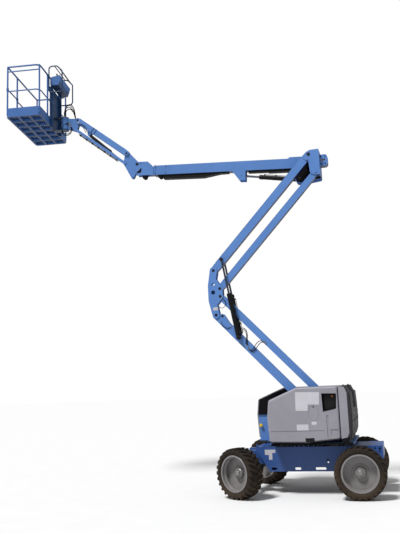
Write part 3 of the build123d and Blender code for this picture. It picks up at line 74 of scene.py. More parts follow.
lamp = bpy.data.objects.new("soft_lamp", bpy.data.lights.new("soft_lamp", "SUN"))
lamp.data.energy = 3.7
lamp.data.angle = math.radians(12)
lamp.rotation_euler = Vector((0.28, 0.46, 0.84)).to_track_quat("Z", "Y").to_euler()
bpy.context.collection.objects.link(lamp)

world = bpy.data.worlds.new("studio")
world.use_nodes = True
# the sky is white behind the machine, and lights it less strongly than it shows
sky = world.node_tree.nodes["Background"]
sky.inputs["Color"].default_value = (1, 1, 1, 1)
ray = world.node_tree.nodes.new("ShaderNodeLightPath")
strength = world.node_tree.nodes.new("ShaderNodeMapRange")
strength.inputs["To Min"].default_value = 0.42
strength.inputs["To Max"].default_value = 1.0
world.node_tree.links.new(ray.outputs["Is Camera Ray"], strength.inputs["Value"])
world.node_tree.links.new(strength.outputs["Result"], sky.inputs["Strength"])
bpy.context.scene.world = world
bpy.context.scene.view_settings.view_transform = "Standard"

# Chassis: a welded box of thick steel plate between the wheels, open below, with slots and holes cut
# in its side plates. It is powder coated blue; road dust settles on the lower part.


def linear(code, alpha=1.0):
    """An sRGB hex colour as linear RGBA."""
    out = []
    for start in (1, 3, 5):
        value = int(code[start:start + 2], 16) / 255
        out.append(value / 12.92 if value <= 0.04045 else ((value + 0.055) / 1.055) ** 2.4)
    return (*out, alpha)


def add(tree, kind, settings=None, links=None, **values):
    """Adds a node with its settings, socket values and incoming links; a plain value may stand for a link."""
    made = tree.nodes.new(kind)
    for key, value in (settings or {}).items():
        setattr(made, key, value)
    for key, value in values.items():
        made.inputs[key.replace("_", " ")].default_value = value
    for key, source in (links or {}).items():
        if isinstance(source, bpy.types.NodeSocket):
            tree.links.new(source, made.inputs[key])
        else:
            made.inputs[key].default_value = source
    return made


def finish_of(name, colour, darker, rough, rough_spread=0.05, metallic=0.0, grain_mm=8.0, relief_mm=0.0,
        coat=0.0, shine=0.5, under=None, under_to=-0.3, dust=None, dust_top=0.0, dust_amount=0.0):
    """A painted, moulded or cast surface: cloudy colour, uneven gloss, fine relief, painted shade on
    faces that look down, and settled dust."""
    material = bpy.data.materials.new(name)
    material.use_nodes = True
    tree = material.node_tree
    shader = tree.nodes["Principled BSDF"]
    shader.inputs["Metallic"].default_value = metallic
    shader.inputs["Coat Weight"].default_value = coat
    shader.inputs["Specular IOR Level"].default_value = shine
    shader.inputs["Coat Roughness"].default_value = 0.2
    where = add(tree, "ShaderNodeTexCoord")
    cloud = add(tree, "ShaderNodeTexNoise", Scale=2.2, Detail=5.0, Roughness=0.6,
        links={"Vector": where.outputs["Object"]})
    speck = add(tree, "ShaderNodeTexNoise", Scale=1000 / grain_mm, Detail=3.0, Roughness=0.55,
        links={"Vector": where.outputs["Object"]})
    both = add(tree, "ShaderNodeMath", {"operation": "MULTIPLY"},
        {0: cloud.outputs["Fac"], 1: speck.outputs["Fac"]})
    spread = add(tree, "ShaderNodeMapRange", From_Min=0.12, From_Max=0.42, links={"Value": both.outputs[0]})
    tint = add(tree, "ShaderNodeMix", {"data_type": "RGBA"}, {0: spread.outputs["Result"],
        6: linear(darker), 7: linear(colour)})
    shade = tint.outputs[2]
    # painted shade: faces that look down are mixed towards the under colour
    if under:
        faces = add(tree, "ShaderNodeNewGeometry")
        split = add(tree, "ShaderNodeSeparateXYZ", links={"Vector": faces.outputs["Normal"]})
        down = add(tree, "ShaderNodeMapRange", From_Min=under_to - 0.1, From_Max=under_to, To_Min=1.0,
            To_Max=0.0, links={"Value": split.outputs["Z"]})
        painted_underside_shade = add(tree, "ShaderNodeMix", {"data_type": "RGBA"},
            {0: down.outputs["Result"], 6: shade, 7: linear(under)})
        shade = painted_underside_shade.outputs[2]
    if dust:
        split = add(tree, "ShaderNodeSeparateXYZ", links={"Vector": where.outputs["Object"]})
        low = add(tree, "ShaderNodeMapRange", From_Min=0.0, From_Max=dust_top, To_Min=1.0, To_Max=0.0,
            links={"Value": split.outputs["Z"]})
        patch = add(tree, "ShaderNodeMapRange", From_Min=0.35, From_Max=0.7, To_Min=0.15,
            To_Max=dust_amount, links={"Value": cloud.outputs["Fac"]})
        settled = add(tree, "ShaderNodeMath", {"operation": "MULTIPLY"},
            {0: low.outputs["Result"], 1: patch.outputs["Result"]})
        dusty = add(tree, "ShaderNodeMix", {"data_type": "RGBA"},
            {0: settled.outputs[0], 6: shade, 7: linear(dust)})
        shade = dusty.outputs[2]
    tree.links.new(shade, shader.inputs["Base Color"])
    gloss = add(tree, "ShaderNodeMapRange", From_Min=0.25, From_Max=0.75, To_Min=rough - rough_spread,
        To_Max=rough + rough_spread, links={"Value": cloud.outputs["Fac"]})
    tree.links.new(gloss.outputs["Result"], shader.inputs["Roughness"])
    if relief_mm:
        bump = add(tree, "ShaderNodeBump", Strength=0.6, Distance=relief_mm / 1000,
            links={"Height": speck.outputs["Fac"]})
        tree.links.new(bump.outputs["Normal"], shader.inputs["Normal"])
    return material


def wear(names, material):
    """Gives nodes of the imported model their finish; they carry their slots already."""
    for name in names:
        node[name].data.materials.clear()
        node[name].data.materials.append(material)


def fitted(name, bm, body, material):
    """Closes a piece's seams, turns its faces outwards and fixes it, in its own place, to a body."""
    bmesh.ops.remove_doubles(bm, verts=bm.verts, dist=0.00001)
    bmesh.ops.recalc_face_normals(bm, faces=bm.faces)
    mesh = bpy.data.meshes.new(name)
    bm.to_mesh(mesh)
    bm.free()
    mesh.shade_smooth()
    mesh.set_sharp_from_angle(angle=math.radians(32))
    mesh.materials.append(material)
    made = bpy.data.objects.new(name, mesh)
    bpy.context.collection.objects.link(made)
    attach(made, body)


def flank(x, y, z, slope=0.0, hand=1):
    """A place on the machine's side: x climbs at a slope in degrees from +X, and z points out to one hand."""
    turn = math.radians(slope)
    return Matrix((
        (math.cos(turn), -math.sin(turn), 0, x),
        (0, 0, hand, y),
        (math.sin(turn), math.cos(turn), 0, z),
        (0, 0, 0, 1),
    ))


def facing(point, direction):
    """A place at a point whose z axis looks along a direction."""
    return Matrix.Translation(point) @ Vector(direction).to_track_quat("Z", "Y").to_matrix().to_4x4()


def slab(bm, outline, thickness, place, low=0.0):
    """A plate: an outline in the place's xy plane, from low up to low plus its thickness."""
    rings = [[bm.verts.new(place @ Vector((x, y, height))) for x, y in outline]
             for height in (low, low + thickness)]
    bm.faces.new(rings[0])
    bm.faces.new(rings[1])
    for start in range(len(outline)):
        after = (start + 1) % len(outline)
        bm.faces.new((rings[0][start], rings[0][after], rings[1][after], rings[1][start]))


def turned(bm, profile, place, sides=24):
    """A turned solid from (height, radius) pairs along the place's z axis, closed where the radius is 0."""
    rings = []
    for height, radius in profile:
        turns = [2 * math.pi * step / sides for step in range(sides)] if radius else [0]
        rings.append([bm.verts.new(place @ Vector((radius * math.cos(turn), radius * math.sin(turn),
            height))) for turn in turns])
    for low, high in zip(rings, rings[1:]):
        for step in range(sides):
            after = (step + 1) % sides
            corners = [low[step % len(low)], low[after % len(low)], high[after % len(high)],
                high[step % len(high)]]
            bm.faces.new(list(dict.fromkeys(corners)))


def block(bm, size, edge, place):
    """A box with rounded edges, centred on its place."""
    made = bmesh.ops.create_cube(bm, size=1.0, matrix=place @ Matrix.Diagonal((*size, 1)))
    edges = list({line for corner in made["verts"] for line in corner.link_edges})
    bmesh.ops.bevel(bm, geom=edges, offset=edge, segments=2, profile=0.6, affect="EDGES", clamp_overlap=True)


def pipe(bm, points, radius, sides=10):
    """A round bar or pipe through points, mitred at its corners."""
    points = [Vector(point) for point in points]
    side = None
    rings = []
    for index, point in enumerate(points):
        before = points[max(index - 1, 0)]
        after = points[min(index + 1, len(points) - 1)]
        along = (after - before).normalized()
        if side is None:
            side = along.orthogonal().normalized()
        side = (side - along * side.dot(along)).normalized()
        other = along.cross(side)
        rings.append([bm.verts.new(point + radius * (math.cos(2 * math.pi * step / sides) * side
                                                     + math.sin(2 * math.pi * step / sides) * other))
                      for step in range(sides)])
    bm.faces.new(rings[0])
    bm.faces.new(rings[-1])
    for low, high in zip(rings, rings[1:]):
        for step in range(sides):
            after = (step + 1) % sides
            bm.faces.new((low[step], low[after], high[after], high[step]))


def open_tree(name, result, **inputs):
    """A Geometry Nodes tree with its inputs, each with its kind, and one result; and the inputs' sockets."""
    tree = bpy.data.node_groups.new(name, "GeometryNodeTree")
    for label, kind in inputs.items():
        tree.interface.new_socket(name=label.replace("_", " "), in_out="INPUT",
            socket_type="NodeSocket" + kind)
    tree.interface.new_socket(name=result, in_out="OUTPUT", socket_type="NodeSocketGeometry")
    return tree, add(tree, "NodeGroupInput").outputs


def close_tree(tree, placed, finish):
    """Ends a tree: its instances are made real and given their material."""
    real = add(tree, "GeometryNodeRealizeInstances", links={"Geometry": placed.outputs[0]})
    done = add(tree, "GeometryNodeSetMaterial", links={"Geometry": real.outputs[0], "Material": finish})
    add(tree, "NodeGroupOutput", links={0: done.outputs[0]})


# a tree that stands a hexagon bolt with a chamfered head and a washer on every point
bolt_tree, given = open_tree("hexagon_bolts", "Bolts", Places="Geometry", Head_radius="Float",
    Head_height="Float", Washer_radius="Float", Finish="Material")
tall = add(bolt_tree, "ShaderNodeMath", {"operation": "MULTIPLY"}, {0: given["Head height"], 1: 0.5})
lift = add(bolt_tree, "ShaderNodeCombineXYZ", links={"Z": tall.outputs[0]})
head = add(bolt_tree, "GeometryNodeMeshCylinder", Vertices=6,
    links={"Radius": given["Head radius"], "Depth": given["Head height"]})
head_up = add(bolt_tree, "GeometryNodeTransform", links={"Geometry": head.outputs["Mesh"],
    "Translation": lift.outputs[0]})
slim = add(bolt_tree, "ShaderNodeMath", {"operation": "MULTIPLY"}, {0: given["Head radius"], 1: 0.84})
thin = add(bolt_tree, "ShaderNodeMath", {"operation": "MULTIPLY"}, {0: given["Head height"], 1: 0.24})
top = add(bolt_tree, "GeometryNodeMeshCone", Vertices=12, links={"Radius Bottom": slim.outputs[0],
    "Radius Top": tall.outputs[0], "Depth": thin.outputs[0]})
top_lift = add(bolt_tree, "ShaderNodeCombineXYZ", links={"Z": given["Head height"]})
top_up = add(bolt_tree, "GeometryNodeTransform", links={"Geometry": top.outputs["Mesh"],
    "Translation": top_lift.outputs[0]})
washer = add(bolt_tree, "GeometryNodeMeshCylinder", Vertices=16,
    links={"Radius": given["Washer radius"], "Depth": thin.outputs[0]})
whole_bolt = add(bolt_tree, "GeometryNodeJoinGeometry")
for part in (head_up.outputs[0], top_up.outputs[0], washer.outputs["Mesh"]):
    bolt_tree.links.new(part, whole_bolt.inputs[0])
look = add(bolt_tree, "GeometryNodeInputNamedAttribute", {"data_type": "FLOAT_VECTOR"}, Name="facing")
stand = add(bolt_tree, "FunctionNodeAlignRotationToVector", {"axis": "Z"},
    {"Vector": look.outputs["Attribute"]})
placed = add(bolt_tree, "GeometryNodeInstanceOnPoints", links={"Points": given["Places"],
    "Instance": whole_bolt.outputs[0], "Rotation": stand.outputs[0]})
close_tree(bolt_tree, placed, given["Finish"])


def grown(name, tree, start, body, slot, **sizes):
    """Runs a node tree on a starting mesh, keeps the result as a plain mesh and fixes it to a body."""
    made = bpy.data.objects.new(name, start)
    bpy.context.collection.objects.link(made)
    step = made.modifiers.new("maker", "NODES")
    step.node_group = tree
    for socket in tree.interface.items_tree:
        if socket.in_out == "INPUT" and socket.name.replace(" ", "_") in sizes:
            step[socket.identifier] = sizes[socket.name.replace(" ", "_")]
    bpy.context.view_layer.update()
    result = bpy.data.meshes.new_from_object(made.evaluated_get(bpy.context.evaluated_depsgraph_get()))
    made.modifiers.remove(step)
    made.data = result
    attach(made, body)


def bolts(name, places, body, material, slot, across=0.024, tall=0.012):
    """Hexagon bolts at places, each a point and the direction in which its head looks."""
    start = bpy.data.meshes.new(name)
    start.from_pydata([tuple(point) for point, direction in places], [], [])
    facing_of = start.attributes.new("facing", "FLOAT_VECTOR", "POINT")
    for entry, (point, direction) in zip(facing_of.data, places):
        entry.vector = direction
    grown(name, bolt_tree, start, body, slot, Head_radius=across / 2, Head_height=tall,
        Washer_radius=across * 0.68, Finish=material)


def ring_of_bolts(middle, direction, radius, count, phase=0.0):
    """Places of bolts evenly round a circle."""
    place = facing(middle, direction)
    turns = [2 * math.pi * step / count + phase for step in range(count)]
    return [(place @ Vector((radius * math.cos(turn), radius * math.sin(turn), 0)), direction)
            for turn in turns]


# polyester powder coat on steel: even, half gloss, a little orange peel drawn coarse enough to show
POWDER = {"grain_mm": 9, "relief_mm": 0.12, "coat": 0.08, "shine": 0.35}
# the arms' blue coat; faces that look down get painted shade in navy
blue_coat = finish_of("blue_powder_coat", "#527BB8", "#4C74B0", 0.42, 0.05, under="#0C1640", **POWDER)
# the same coat in a deeper blue, dulled and browned by road dust towards the ground, with painted shade on
# faces that look down
chassis_coat = finish_of("chassis_powder_coat", "#2C4F8C", "#274780", 0.45, 0.08, under="#141A2C",
    dust="#4A443E", dust_top=0.7, dust_amount=0.35, **POWDER)
# zinc plated and passivated steel: pale grey metal, slightly yellow, dull
zinc = finish_of("zinc_plated_steel", "#A7A59C", "#8D8B83", 0.38, 0.08, metallic=1.0, grain_mm=3)
# printed vinyl left blank: flat white with a faint yellowing
blank_vinyl = finish_of("blank_white_vinyl", "#B9B8BF", "#ADACB2", 0.4, 0.05, grain_mm=15, shine=0.3)
wear(["chassis", "slew_ring"], chassis_coat)

slew = pin_of["slew"]
bolts("slew_ring_bolts", ring_of_bolts((slew.x, 0, 0.838), (0, 0, 1), 0.392, 28), "base", zinc, "boom_blue",
    across=0.03, tall=0.016)
made = bmesh.new()
for hand in (1, -1):
    slab(made, ((0.719, 0.792), (0.524, 0.792), (0.524, 0.735), (0.583, 0.735), (0.583, 0.612),
        (0.648, 0.612), (0.648, 0.7), (0.719, 0.7)), 0.001, flank(slew.x, hand * 0.45, 0, hand=hand),
        low=-0.0002)
fitted("chassis_blank_plates", made, "base", blank_vinyl)
# weld beads where the side plates meet the top plate's edge and along the carriers
made = bmesh.new()
for hand in (1, -1):
    pipe(made, ((slew.x - 1.395, hand * 0.4495, 0.8375), (slew.x + 0.885, hand * 0.4495, 0.8375)), 0.0045, 8)
    pipe(made, ((slew.x - 0.69, hand * 0.4495, 0.6205), (slew.x - 1.395, hand * 0.4495, 0.6205)), 0.0045, 8)
fitted("chassis_weld_beads", made, "base", chassis_coat)

# Axles: cast iron housings with a round gear housing in the middle and forged steering knuckles at the
# front, painted black and dusty, bolted up under the chassis.
# brushed paint over sand-cast iron: nearly matt black, pitted, brown with dried mud
axle_black = finish_of("axle_black_paint", "#1C1C1E", "#121214", 0.6, 0.1, grain_mm=5, relief_mm=0.6,
    shine=0.2, dust="#453D33", dust_top=0.9, dust_amount=0.5)
wear(["front_axle", "rear_axle", "knuckle_left", "knuckle_right"], axle_black)
wheel_up = pin_of["wheel_front_left"].z
front_x = pin_of["steer_left"].x
rear_x = pin_of["wheel_rear_left"].x
housing_bolts = []
for axle_x in (front_x, rear_x):
    for end in (1, -1):
        housing_bolts += ring_of_bolts((axle_x + end * 0.13, 0, wheel_up), (end, 0, 0), 0.115, 12, 0.2)
bolts("gear_housing_bolts", housing_bolts, "base", axle_black, "axle_black", across=0.02, tall=0.01)
made = bmesh.new()
for axle_x in (front_x, rear_x):
    for end in (1, -1):
        turned(made, ((-0.002, 0), (-0.002, 0.098), (0.012, 0.094), (0.03, 0.06), (0.036, 0.03),
            (0.037, 0)), facing((axle_x + end * 0.13, 0, wheel_up), (end, 0, 0)), 36)
fitted("gear_housing_lids", made, "base", axle_black)

# Wheels: tyres of vulcanised rubber with two rows of moulded lugs and ribs round the sidewall, on
# pressed steel rims, sprayed pale grey, each with nine nuts round a turned hub cap.
# vulcanised rubber: matt brown-black with dried mud rubbed into the tread
tyre_rubber = finish_of("tyre_rubber", "#2C2520", "#1A1715", 0.85, 0.08, grain_mm=8, relief_mm=0.8,
    shine=0.15, dust="#5A4B3C", dust_top=1.0, dust_amount=0.5)
# paint sprayed on pressed steel: grey, half gloss, dusty in the dish
rim_spray = finish_of("rim_spray_paint", "#7E7C7C", "#6B6969", 0.36, 0.1, grain_mm=12, relief_mm=0.1,
    dust="#5B5149", dust_top=0.8, dust_amount=0.3)
# out of the disc, in metres from the wheel's middle: height along the axle, radius
HUB_CAP = ((0.0625, 0), (0.061, 0.034), (0.053, 0.0462), (0.0395, 0.0462), (0.0395, 0.053), (0.045, 0.0528),
    (0.058, 0.0505), (0.066, 0.041), (0.0685, 0.03), (0.0695, 0))
RIM_LIP = ((0.1425, 0.3215), (0.1455, 0.3185), (0.1462, 0.312), (0.1455, 0.3), (0.1425, 0.2925),
    (0.1405, 0.3), (0.1405, 0.315), (0.1425, 0.3215))
STEER = math.radians(31)
for wheel_name in ("front_left", "front_right", "rear_left", "rear_right"):
    body = "wheel_" + wheel_name
    hand = 1 if "left" in wheel_name else -1
    steered = "front" in wheel_name
    axle_line = Vector((hand * math.sin(STEER) if steered else 0,
        hand * (math.cos(STEER) if steered else 1), 0))
    rim_low, rim_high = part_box("rim_" + wheel_name)
    middle = (Vector(rim_low) + Vector(rim_high)) / 2
    place = facing(middle, axle_line)
    wear(["tyre_" + wheel_name], tyre_rubber)
    wear(["rim_" + wheel_name], rim_spray)
    made = bmesh.new()
    turned(made, HUB_CAP, place, 32)
    turned(made, RIM_LIP, place, 96)
    turned(made, [(-height, radius) for height, radius in RIM_LIP], place, 96)
    # stepped ring pressed in the disc, and the valve in its hole
    turned(made, ((-0.0285, 0.15), (-0.0245, 0.153), (-0.0245, 0.158), (-0.0285, 0.162), (-0.031, 0.156),
        (-0.0285, 0.15)), place, 72)
    turned(made, ((-0.022, 0), (-0.022, 0.006), (0.005, 0.006), (0.006, 0.0045), (0.02, 0.0045),
        (0.021, 0)), place @ Matrix.Translation((0.19, 0.06, 0)), 12)
    fitted("rim_fittings_" + wheel_name, made, body, rim_spray)
    bolts("wheel_nuts_" + wheel_name, ring_of_bolts(middle + 0.0395 * axle_line, tuple(axle_line), 0.0655,
        9), body, zinc, "rim_paint", across=0.019, tall=0.014)
    made = bmesh.new()
    for side in (1, -1):
        for height, radius in ((0.1615, 0.352), (0.1645, 0.372), (0.1615, 0.392)):
            turned(made, ((side * (height - 0.002), radius - 0.004),
                (side * (height + 0.0008), radius - 0.0015), (side * (height + 0.0008), radius + 0.0015),
                (side * (height - 0.002), radius + 0.004), (side * (height - 0.006), radius),
                (side * (height - 0.002), radius - 0.004)), place, 96)
    fitted("sidewall_ribs_" + wheel_name, made, body, tyre_rubber)

# Turntable: a thick deck plate on the slew ring with bulkheads either side of the channel that the
# arms fold into. The right bulkhead's inner face carries a black sheet of painted shade; hydraulic hoses loop
# over the deck's front.
# closed-cell foam: matt black with a coarse skin, in strips along the deck's edges; the same black is painted
# shade on the channel's right bulkhead, in the riser and in the tip plates' openings
black_foam = finish_of("black_foam", "#141316", "#0E0D10", 0.9, 0.05, grain_mm=14, relief_mm=1.0, shine=0.1)
# nitrile hose cover, wrapped and cured: black, faintly glossy
hose_rubber = finish_of("hose_rubber", "#111114", "#0B0B0D", 0.5, 0.06, grain_mm=4, relief_mm=0.15, shine=0.1)
# moulded ABS knobs: even colour, soft gloss
knob_black = finish_of("knob_black_plastic", "#161618", "#101012", 0.38, 0.05, grain_mm=6, shine=0.2)
knob_orange = finish_of("knob_orange_plastic", "#A8571F", "#944B1A", 0.35, 0.05, grain_mm=6)
knob_yellow = finish_of("knob_yellow_plastic", "#D8B52C", "#C4A323", 0.4, 0.05, grain_mm=6)
wear(["turntable"], blue_coat)
HINGE_Y = 0.303
# a black sheet of painted shade over the right bulkhead's inner face, where the channel lies in shade
made = bmesh.new()
slab(made, ((-0.724, 1.395), (0.9535, 1.395), (0.919, 1.683), (0.412, 1.883), (-0.724, 1.883)), 0.034,
    flank(slew.x, -HINGE_Y + 0.005, 0), low=-0.0095)
fitted("channel_lining", made, "turntable", black_foam)
made = bmesh.new()
for hand, front in ((1, 0.53), (-1, 0.94)):
    slab(made, ((-0.925, 0.899), (front, 0.899), (front, 0.931), (-0.925, 0.931)), 0.004,
        flank(slew.x, hand * 0.8098, 0, hand=hand))
fitted("deck_edge_strips", made, "turntable", black_foam)


def hose(name, body, route, radius):
    """A hydraulic hose on a smooth line through its route, with a ferrule on each end."""
    line = bpy.data.curves.new(name, "CURVE")
    line.dimensions = "3D"
    spline = line.splines.new("NURBS")
    spline.points.add(len(route) - 1)
    for knot, point in zip(spline.points, route):
        knot.co = (*point, 1)
    spline.order_u = 3
    spline.use_endpoint_u = True
    spline.resolution_u = 10
    line.bevel_depth = radius
    line.bevel_resolution = 3
    line.use_fill_caps = True
    line.materials.append(hose_rubber)
    made = bpy.data.objects.new(name, line)
    bpy.context.collection.objects.link(made)
    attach(made, body)
    ends = bmesh.new()
    for point, inner in ((route[0], route[1]), (route[-1], route[-2])):
        # crimped steel ferrule and the hexagon of its union
        direction = (Vector(inner) - Vector(point)).normalized()
        turned(ends, ((-0.004, 0), (-0.004, radius * 1.45), (0.008, radius * 1.45), (0.009, radius * 1.2),
            (0.026, radius * 1.25), (0.028, radius * 1.05), (0.028, 0)), facing(point, direction), 12)
    fitted(name + "_ends", ends, body, zinc)


for number, (out, drop) in enumerate(((0.0, 0.0), (-0.035, 0.01)), 1):
    hose(f"deck_hose_{number}", "turntable", (
        (slew.x + 0.56, 0.345 + out, 0.915), (slew.x + 0.68, 0.345 + out, 0.925 + drop),
        (slew.x + 0.76, 0.24 + out, 0.9 + drop), (slew.x + 0.76, 0.14 + out, 0.9 + drop),
        (slew.x + 0.695, 0.08 + out, 0.915)), 0.011)

# ground controls on the box behind the window: a black panel with nine knobs, and an orange stop button
box_x, box_y, box_z = slew.x - 0.557, 0.79, 1.64
made = bmesh.new()
block(made, (0.226, 0.306, 0.094), 0.008, flank(box_x, box_y - 0.0455, box_z))
block(made, (0.19, 0.27, 0.004), 0.0015, flank(box_x, box_y + 0.003, box_z))
for row in range(3):
    for column in range(3):
        turned(made, ((0, 0), (0, 0.009), (0.004, 0.009), (0.005, 0.004), (0.016, 0.0035), (0.018, 0.005),
            (0.02, 0)), flank(box_x - 0.05 + 0.05 * column, box_y + 0.006, box_z - 0.09 + 0.055 * row), 12)
fitted("ground_control_panel", made, "turntable", knob_black)
made = bmesh.new()
turned(made, ((0, 0), (0, 0.012), (0.01, 0.012), (0.013, 0.017), (0.02, 0.017), (0.023, 0.013), (0.024, 0)),
    flank(box_x - 0.055, box_y + 0.006, box_z + 0.092), 24)
fitted("ground_control_keys", made, "turntable", knob_orange)
made = bmesh.new()
turned(made, ((0, 0), (0, 0.012), (0.03, 0.012), (0.032, 0.03), (0.05, 0.034), (0.06, 0.026), (0.063, 0)),
    flank(slew.x + 0.90, -HINGE_Y + 0.005, 1.19), 20)
fitted("bleed_knob", made, "turntable", knob_yellow)

# Covers: moulded glass-fibre shells that swing up on hinges over the channel, grey right through, with
# a rubber trim round the window, blank plates and latches.
# gelcoat on chopped-strand glass fibre: mid grey, satin, slightly cloudy with a fine moulded texture; faces
# that look down get painted shade in dark grey
glass_fibre = finish_of("grey_glass_fibre", "#8A8992", "#7E7D86", 0.48, 0.07, grain_mm=7, relief_mm=0.25,
    shine=0.4, under="#3B3A3F")
wear(["cover_left", "cover_right"], glass_fibre)
COVER_Y = 0.85
made = bmesh.new()
plates = (
    ((0.035, 1.824), (-0.392, 1.810), (-0.377, 1.594), (-0.177, 1.600), (-0.169, 1.491), (0.044, 1.497)),
    ((-0.227, 1.302), (-0.313, 1.302), (-0.313, 1.249), (-0.227, 1.249)),
    ((0.041, 1.256), (-0.165, 1.256), (-0.165, 1.154), (0.041, 1.154)),
)
for outline in plates:
    slab(made, outline, 0.0012, flank(slew.x, COVER_Y, 0), low=-0.0002)
fitted("cover_blank_plates", made, "cover_left", blank_vinyl)
# rubber trim pressed over the window's edge
window = ((-0.434, 1.782), (-0.680, 1.773), (-0.664, 1.522), (-0.443, 1.476))
made = bmesh.new()
loop = [Vector((slew.x + x, COVER_Y + 0.0015, z)) for x, z in window]
for start in range(4):
    pipe(made, (loop[start], loop[(start + 1) % 4]), 0.006, 10)
    turned(made, ((-0.006, 0), (-0.004, 0.0045), (0, 0.006), (0.004, 0.0045), (0.006, 0)),
        facing(loop[start], (0, 1, 0)), 12)
fitted("window_trim", made, "cover_left", hose_rubber)
made = bmesh.new()
# paddle latch in its recess, and the hatch's catch
block(made, (0.15, 0.066, 0.012), 0.005, flank(slew.x - 0.18, COVER_Y - 0.009, 0.978))
block(made, (0.06, 0.03, 0.014), 0.006, flank(slew.x - 0.18, COVER_Y - 0.001, 0.975))
turned(made, ((0, 0), (0, 0.013), (0.004, 0.012), (0.006, 0.006), (0.0065, 0)),
    flank(slew.x - 0.272, COVER_Y, 1.556), 20)
fitted("cover_left_latches", made, "cover_left", knob_black)
made = bmesh.new()
block(made, (0.16, 0.07, 0.014), 0.005, flank(slew.x - 0.2, -COVER_Y - 0.004, 1.02, hand=-1))
block(made, (0.06, 0.03, 0.014), 0.006, flank(slew.x - 0.2, -COVER_Y - 0.014, 1.02, hand=-1))
# thin bars behind the louvres
for bar_number in range(13):
    pipe(made, ((slew.x - 0.52, -COVER_Y + 0.028, 1.14 + 0.035 * bar_number),
        (slew.x + 0.12, -COVER_Y + 0.028, 1.14 + 0.035 * bar_number)), 0.0025, 6)
fitted("cover_right_latches", made, "cover_right", knob_black)
for hand, body in ((1, "cover_left"), (-1, "cover_right")):
    screws = [((slew.x - 0.62 + 0.29 * step + shift, hand * 0.3335, 1.9045), (0, 0, 1))
              for step in range(3) for shift in (-0.018, 0.018)]
    bolts(body + "_hinge_screws", screws, body, zinc, "cover_grey", across=0.01, tall=0.004)

# Tail: a cast iron counterweight painted dark grey, bolted to the deck behind the covers.
# paint over rough cast iron: dull dark grey with a sand-cast texture
cast_paint = finish_of("cast_iron_grey_paint", "#2E2B2F", "#252226", 0.6, 0.07, grain_mm=9, relief_mm=0.9,
    shine=0.25)
wear(["counterweight"], cast_paint)
wear(["engine"], axle_black)
# a glass-fibre skirt over the front of each side carries the covers' line on
made = bmesh.new()
for hand in (1, -1):
    slab(made, ((-0.7275, 1.0), (-0.83, 1.02), (-0.868, 1.1), (-0.868, 1.79), (-0.83, 1.885),
        (-0.7275, 1.905)), 0.008, flank(slew.x, hand * 0.8435, 0, hand=hand))
fitted("tail_side_skirts", made, "turntable", glass_fibre)
tail_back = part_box("counterweight")[0][0]
bolts("tail_bolts", [((tail_back + 0.0095, y, 1.42), (-1, 0, 0)) for y in (-0.66, -0.48, 0.48, 0.66)]
      + [((slew.x - 0.80, y, 1.9055), (0, 0, 1)) for y in (-0.6, 0.6)],
      "turntable", zinc, "tail_grey", across=0.036, tall=0.018)

# Folding arms: four box-section arms in pairs between the turntable, the mid pivot and the riser,
# bent from plate, welded along their edges and powder coated. Each pin has a black head.
wear(["lower_arm", "lower_link", "upper_arm", "upper_link", "mid_pivot"], blue_coat)
# oil-blackened steel: dark, half dull
black_steel = finish_of("blackened_steel", "#16171A", "#0F1012", 0.5, 0.08, grain_mm=5, shine=0.2)
PIN_HEAD = ((-0.0015, 0), (-0.0015, 1.0), (0.55, 1.0), (0.85, 0.93), (1.0, 0.8), (1.0, 0.34), (0.7, 0.3),
    (0.7, 0))
# body, joints whose pins it carries, faces to the left and right, thickness of the head, its radius
PINS = (
    ("turntable", ("lower_arm", "lower_link"), 0.218, 0.042, 0.006, 0.036),
    ("mid_pivot", ("mid_pivot", "upper_arm", "upper_link"), 0.198, 0.062, 0.003, 0.030),
    ("riser", ("riser",), 0.208, 0.062, 0.004, 0.032),
    ("riser", ("primary_boom", "boom_barrel"), -0.047, -0.233, 0.005, 0.032),
    ("extension", ("bellcrank",), -0.066, -0.208, 0.004, 0.030),
    ("bellcrank", ("jib_arm",), -0.073, -0.207, 0.005, 0.024),
    ("jib_head", ("jib_head",), -0.073, -0.207, 0.005, 0.024),
)


def pin_head(bm, tall, radius, place, sides=28):
    """The head of a pin, sunk a little in the face that it stands on."""
    turned(bm, [(height * tall if height > 0 else height, part * radius) for height, part in PIN_HEAD],
           place, sides)


heads = {}
for body, joints, left, right_face, tall, radius in PINS:
    made = heads.setdefault(body, bmesh.new())
    for joint in joints:
        pin = pin_of[joint]
        for face, hand in ((left, 1), (right_face, -1)):
            pin_head(made, tall, radius, flank(pin.x, face, pin.z, hand=hand))
# the lower link's top pin, which moves with the mid pivot
link_top = pin_of["mid_pivot"] + pin_of["lower_link"] - pin_of["lower_arm"]
for face, hand in ((0.198, 1), (0.062, -1)):
    pin_head(heads["mid_pivot"], 0.003, 0.03, flank(link_top.x, face, link_top.z, hand=hand))
# on the lower arm: the feet of the lift cylinders, and the pin in the lobe at its top
ARM_Y = 0.13
foot = pin_of["lift_barrels"]
lobe = pin_of["mid_pivot"] + Vector((-0.104 * 0.6858 - 0.072 * 0.7278, 0, -0.104 * 0.7278 + 0.072 * 0.6858))
heads["lower_arm"] = bmesh.new()
for pin, out, tall, radius in ((foot, 0.165, 0.006, 0.036), (lobe, 0.05, 0.003, 0.026)):
    for hand in (1, -1):
        pin_head(heads["lower_arm"], tall, radius, flank(pin.x, ARM_Y + hand * out, pin.z, hand=hand))
for body, made in heads.items():
    fitted("pin_heads_" + body, made, body, black_steel)


def along(pin, slope, length, left=0.0, y=None):
    """The point a length up a sloping line from a pin, and a distance to the line's left."""
    turn = math.radians(slope)
    return Vector((pin.x + length * math.cos(turn) - left * math.sin(turn), pin.y if y is None else y,
        pin.z + length * math.sin(turn) + left * math.cos(turn)))


ARM_SLOPE = 46.7
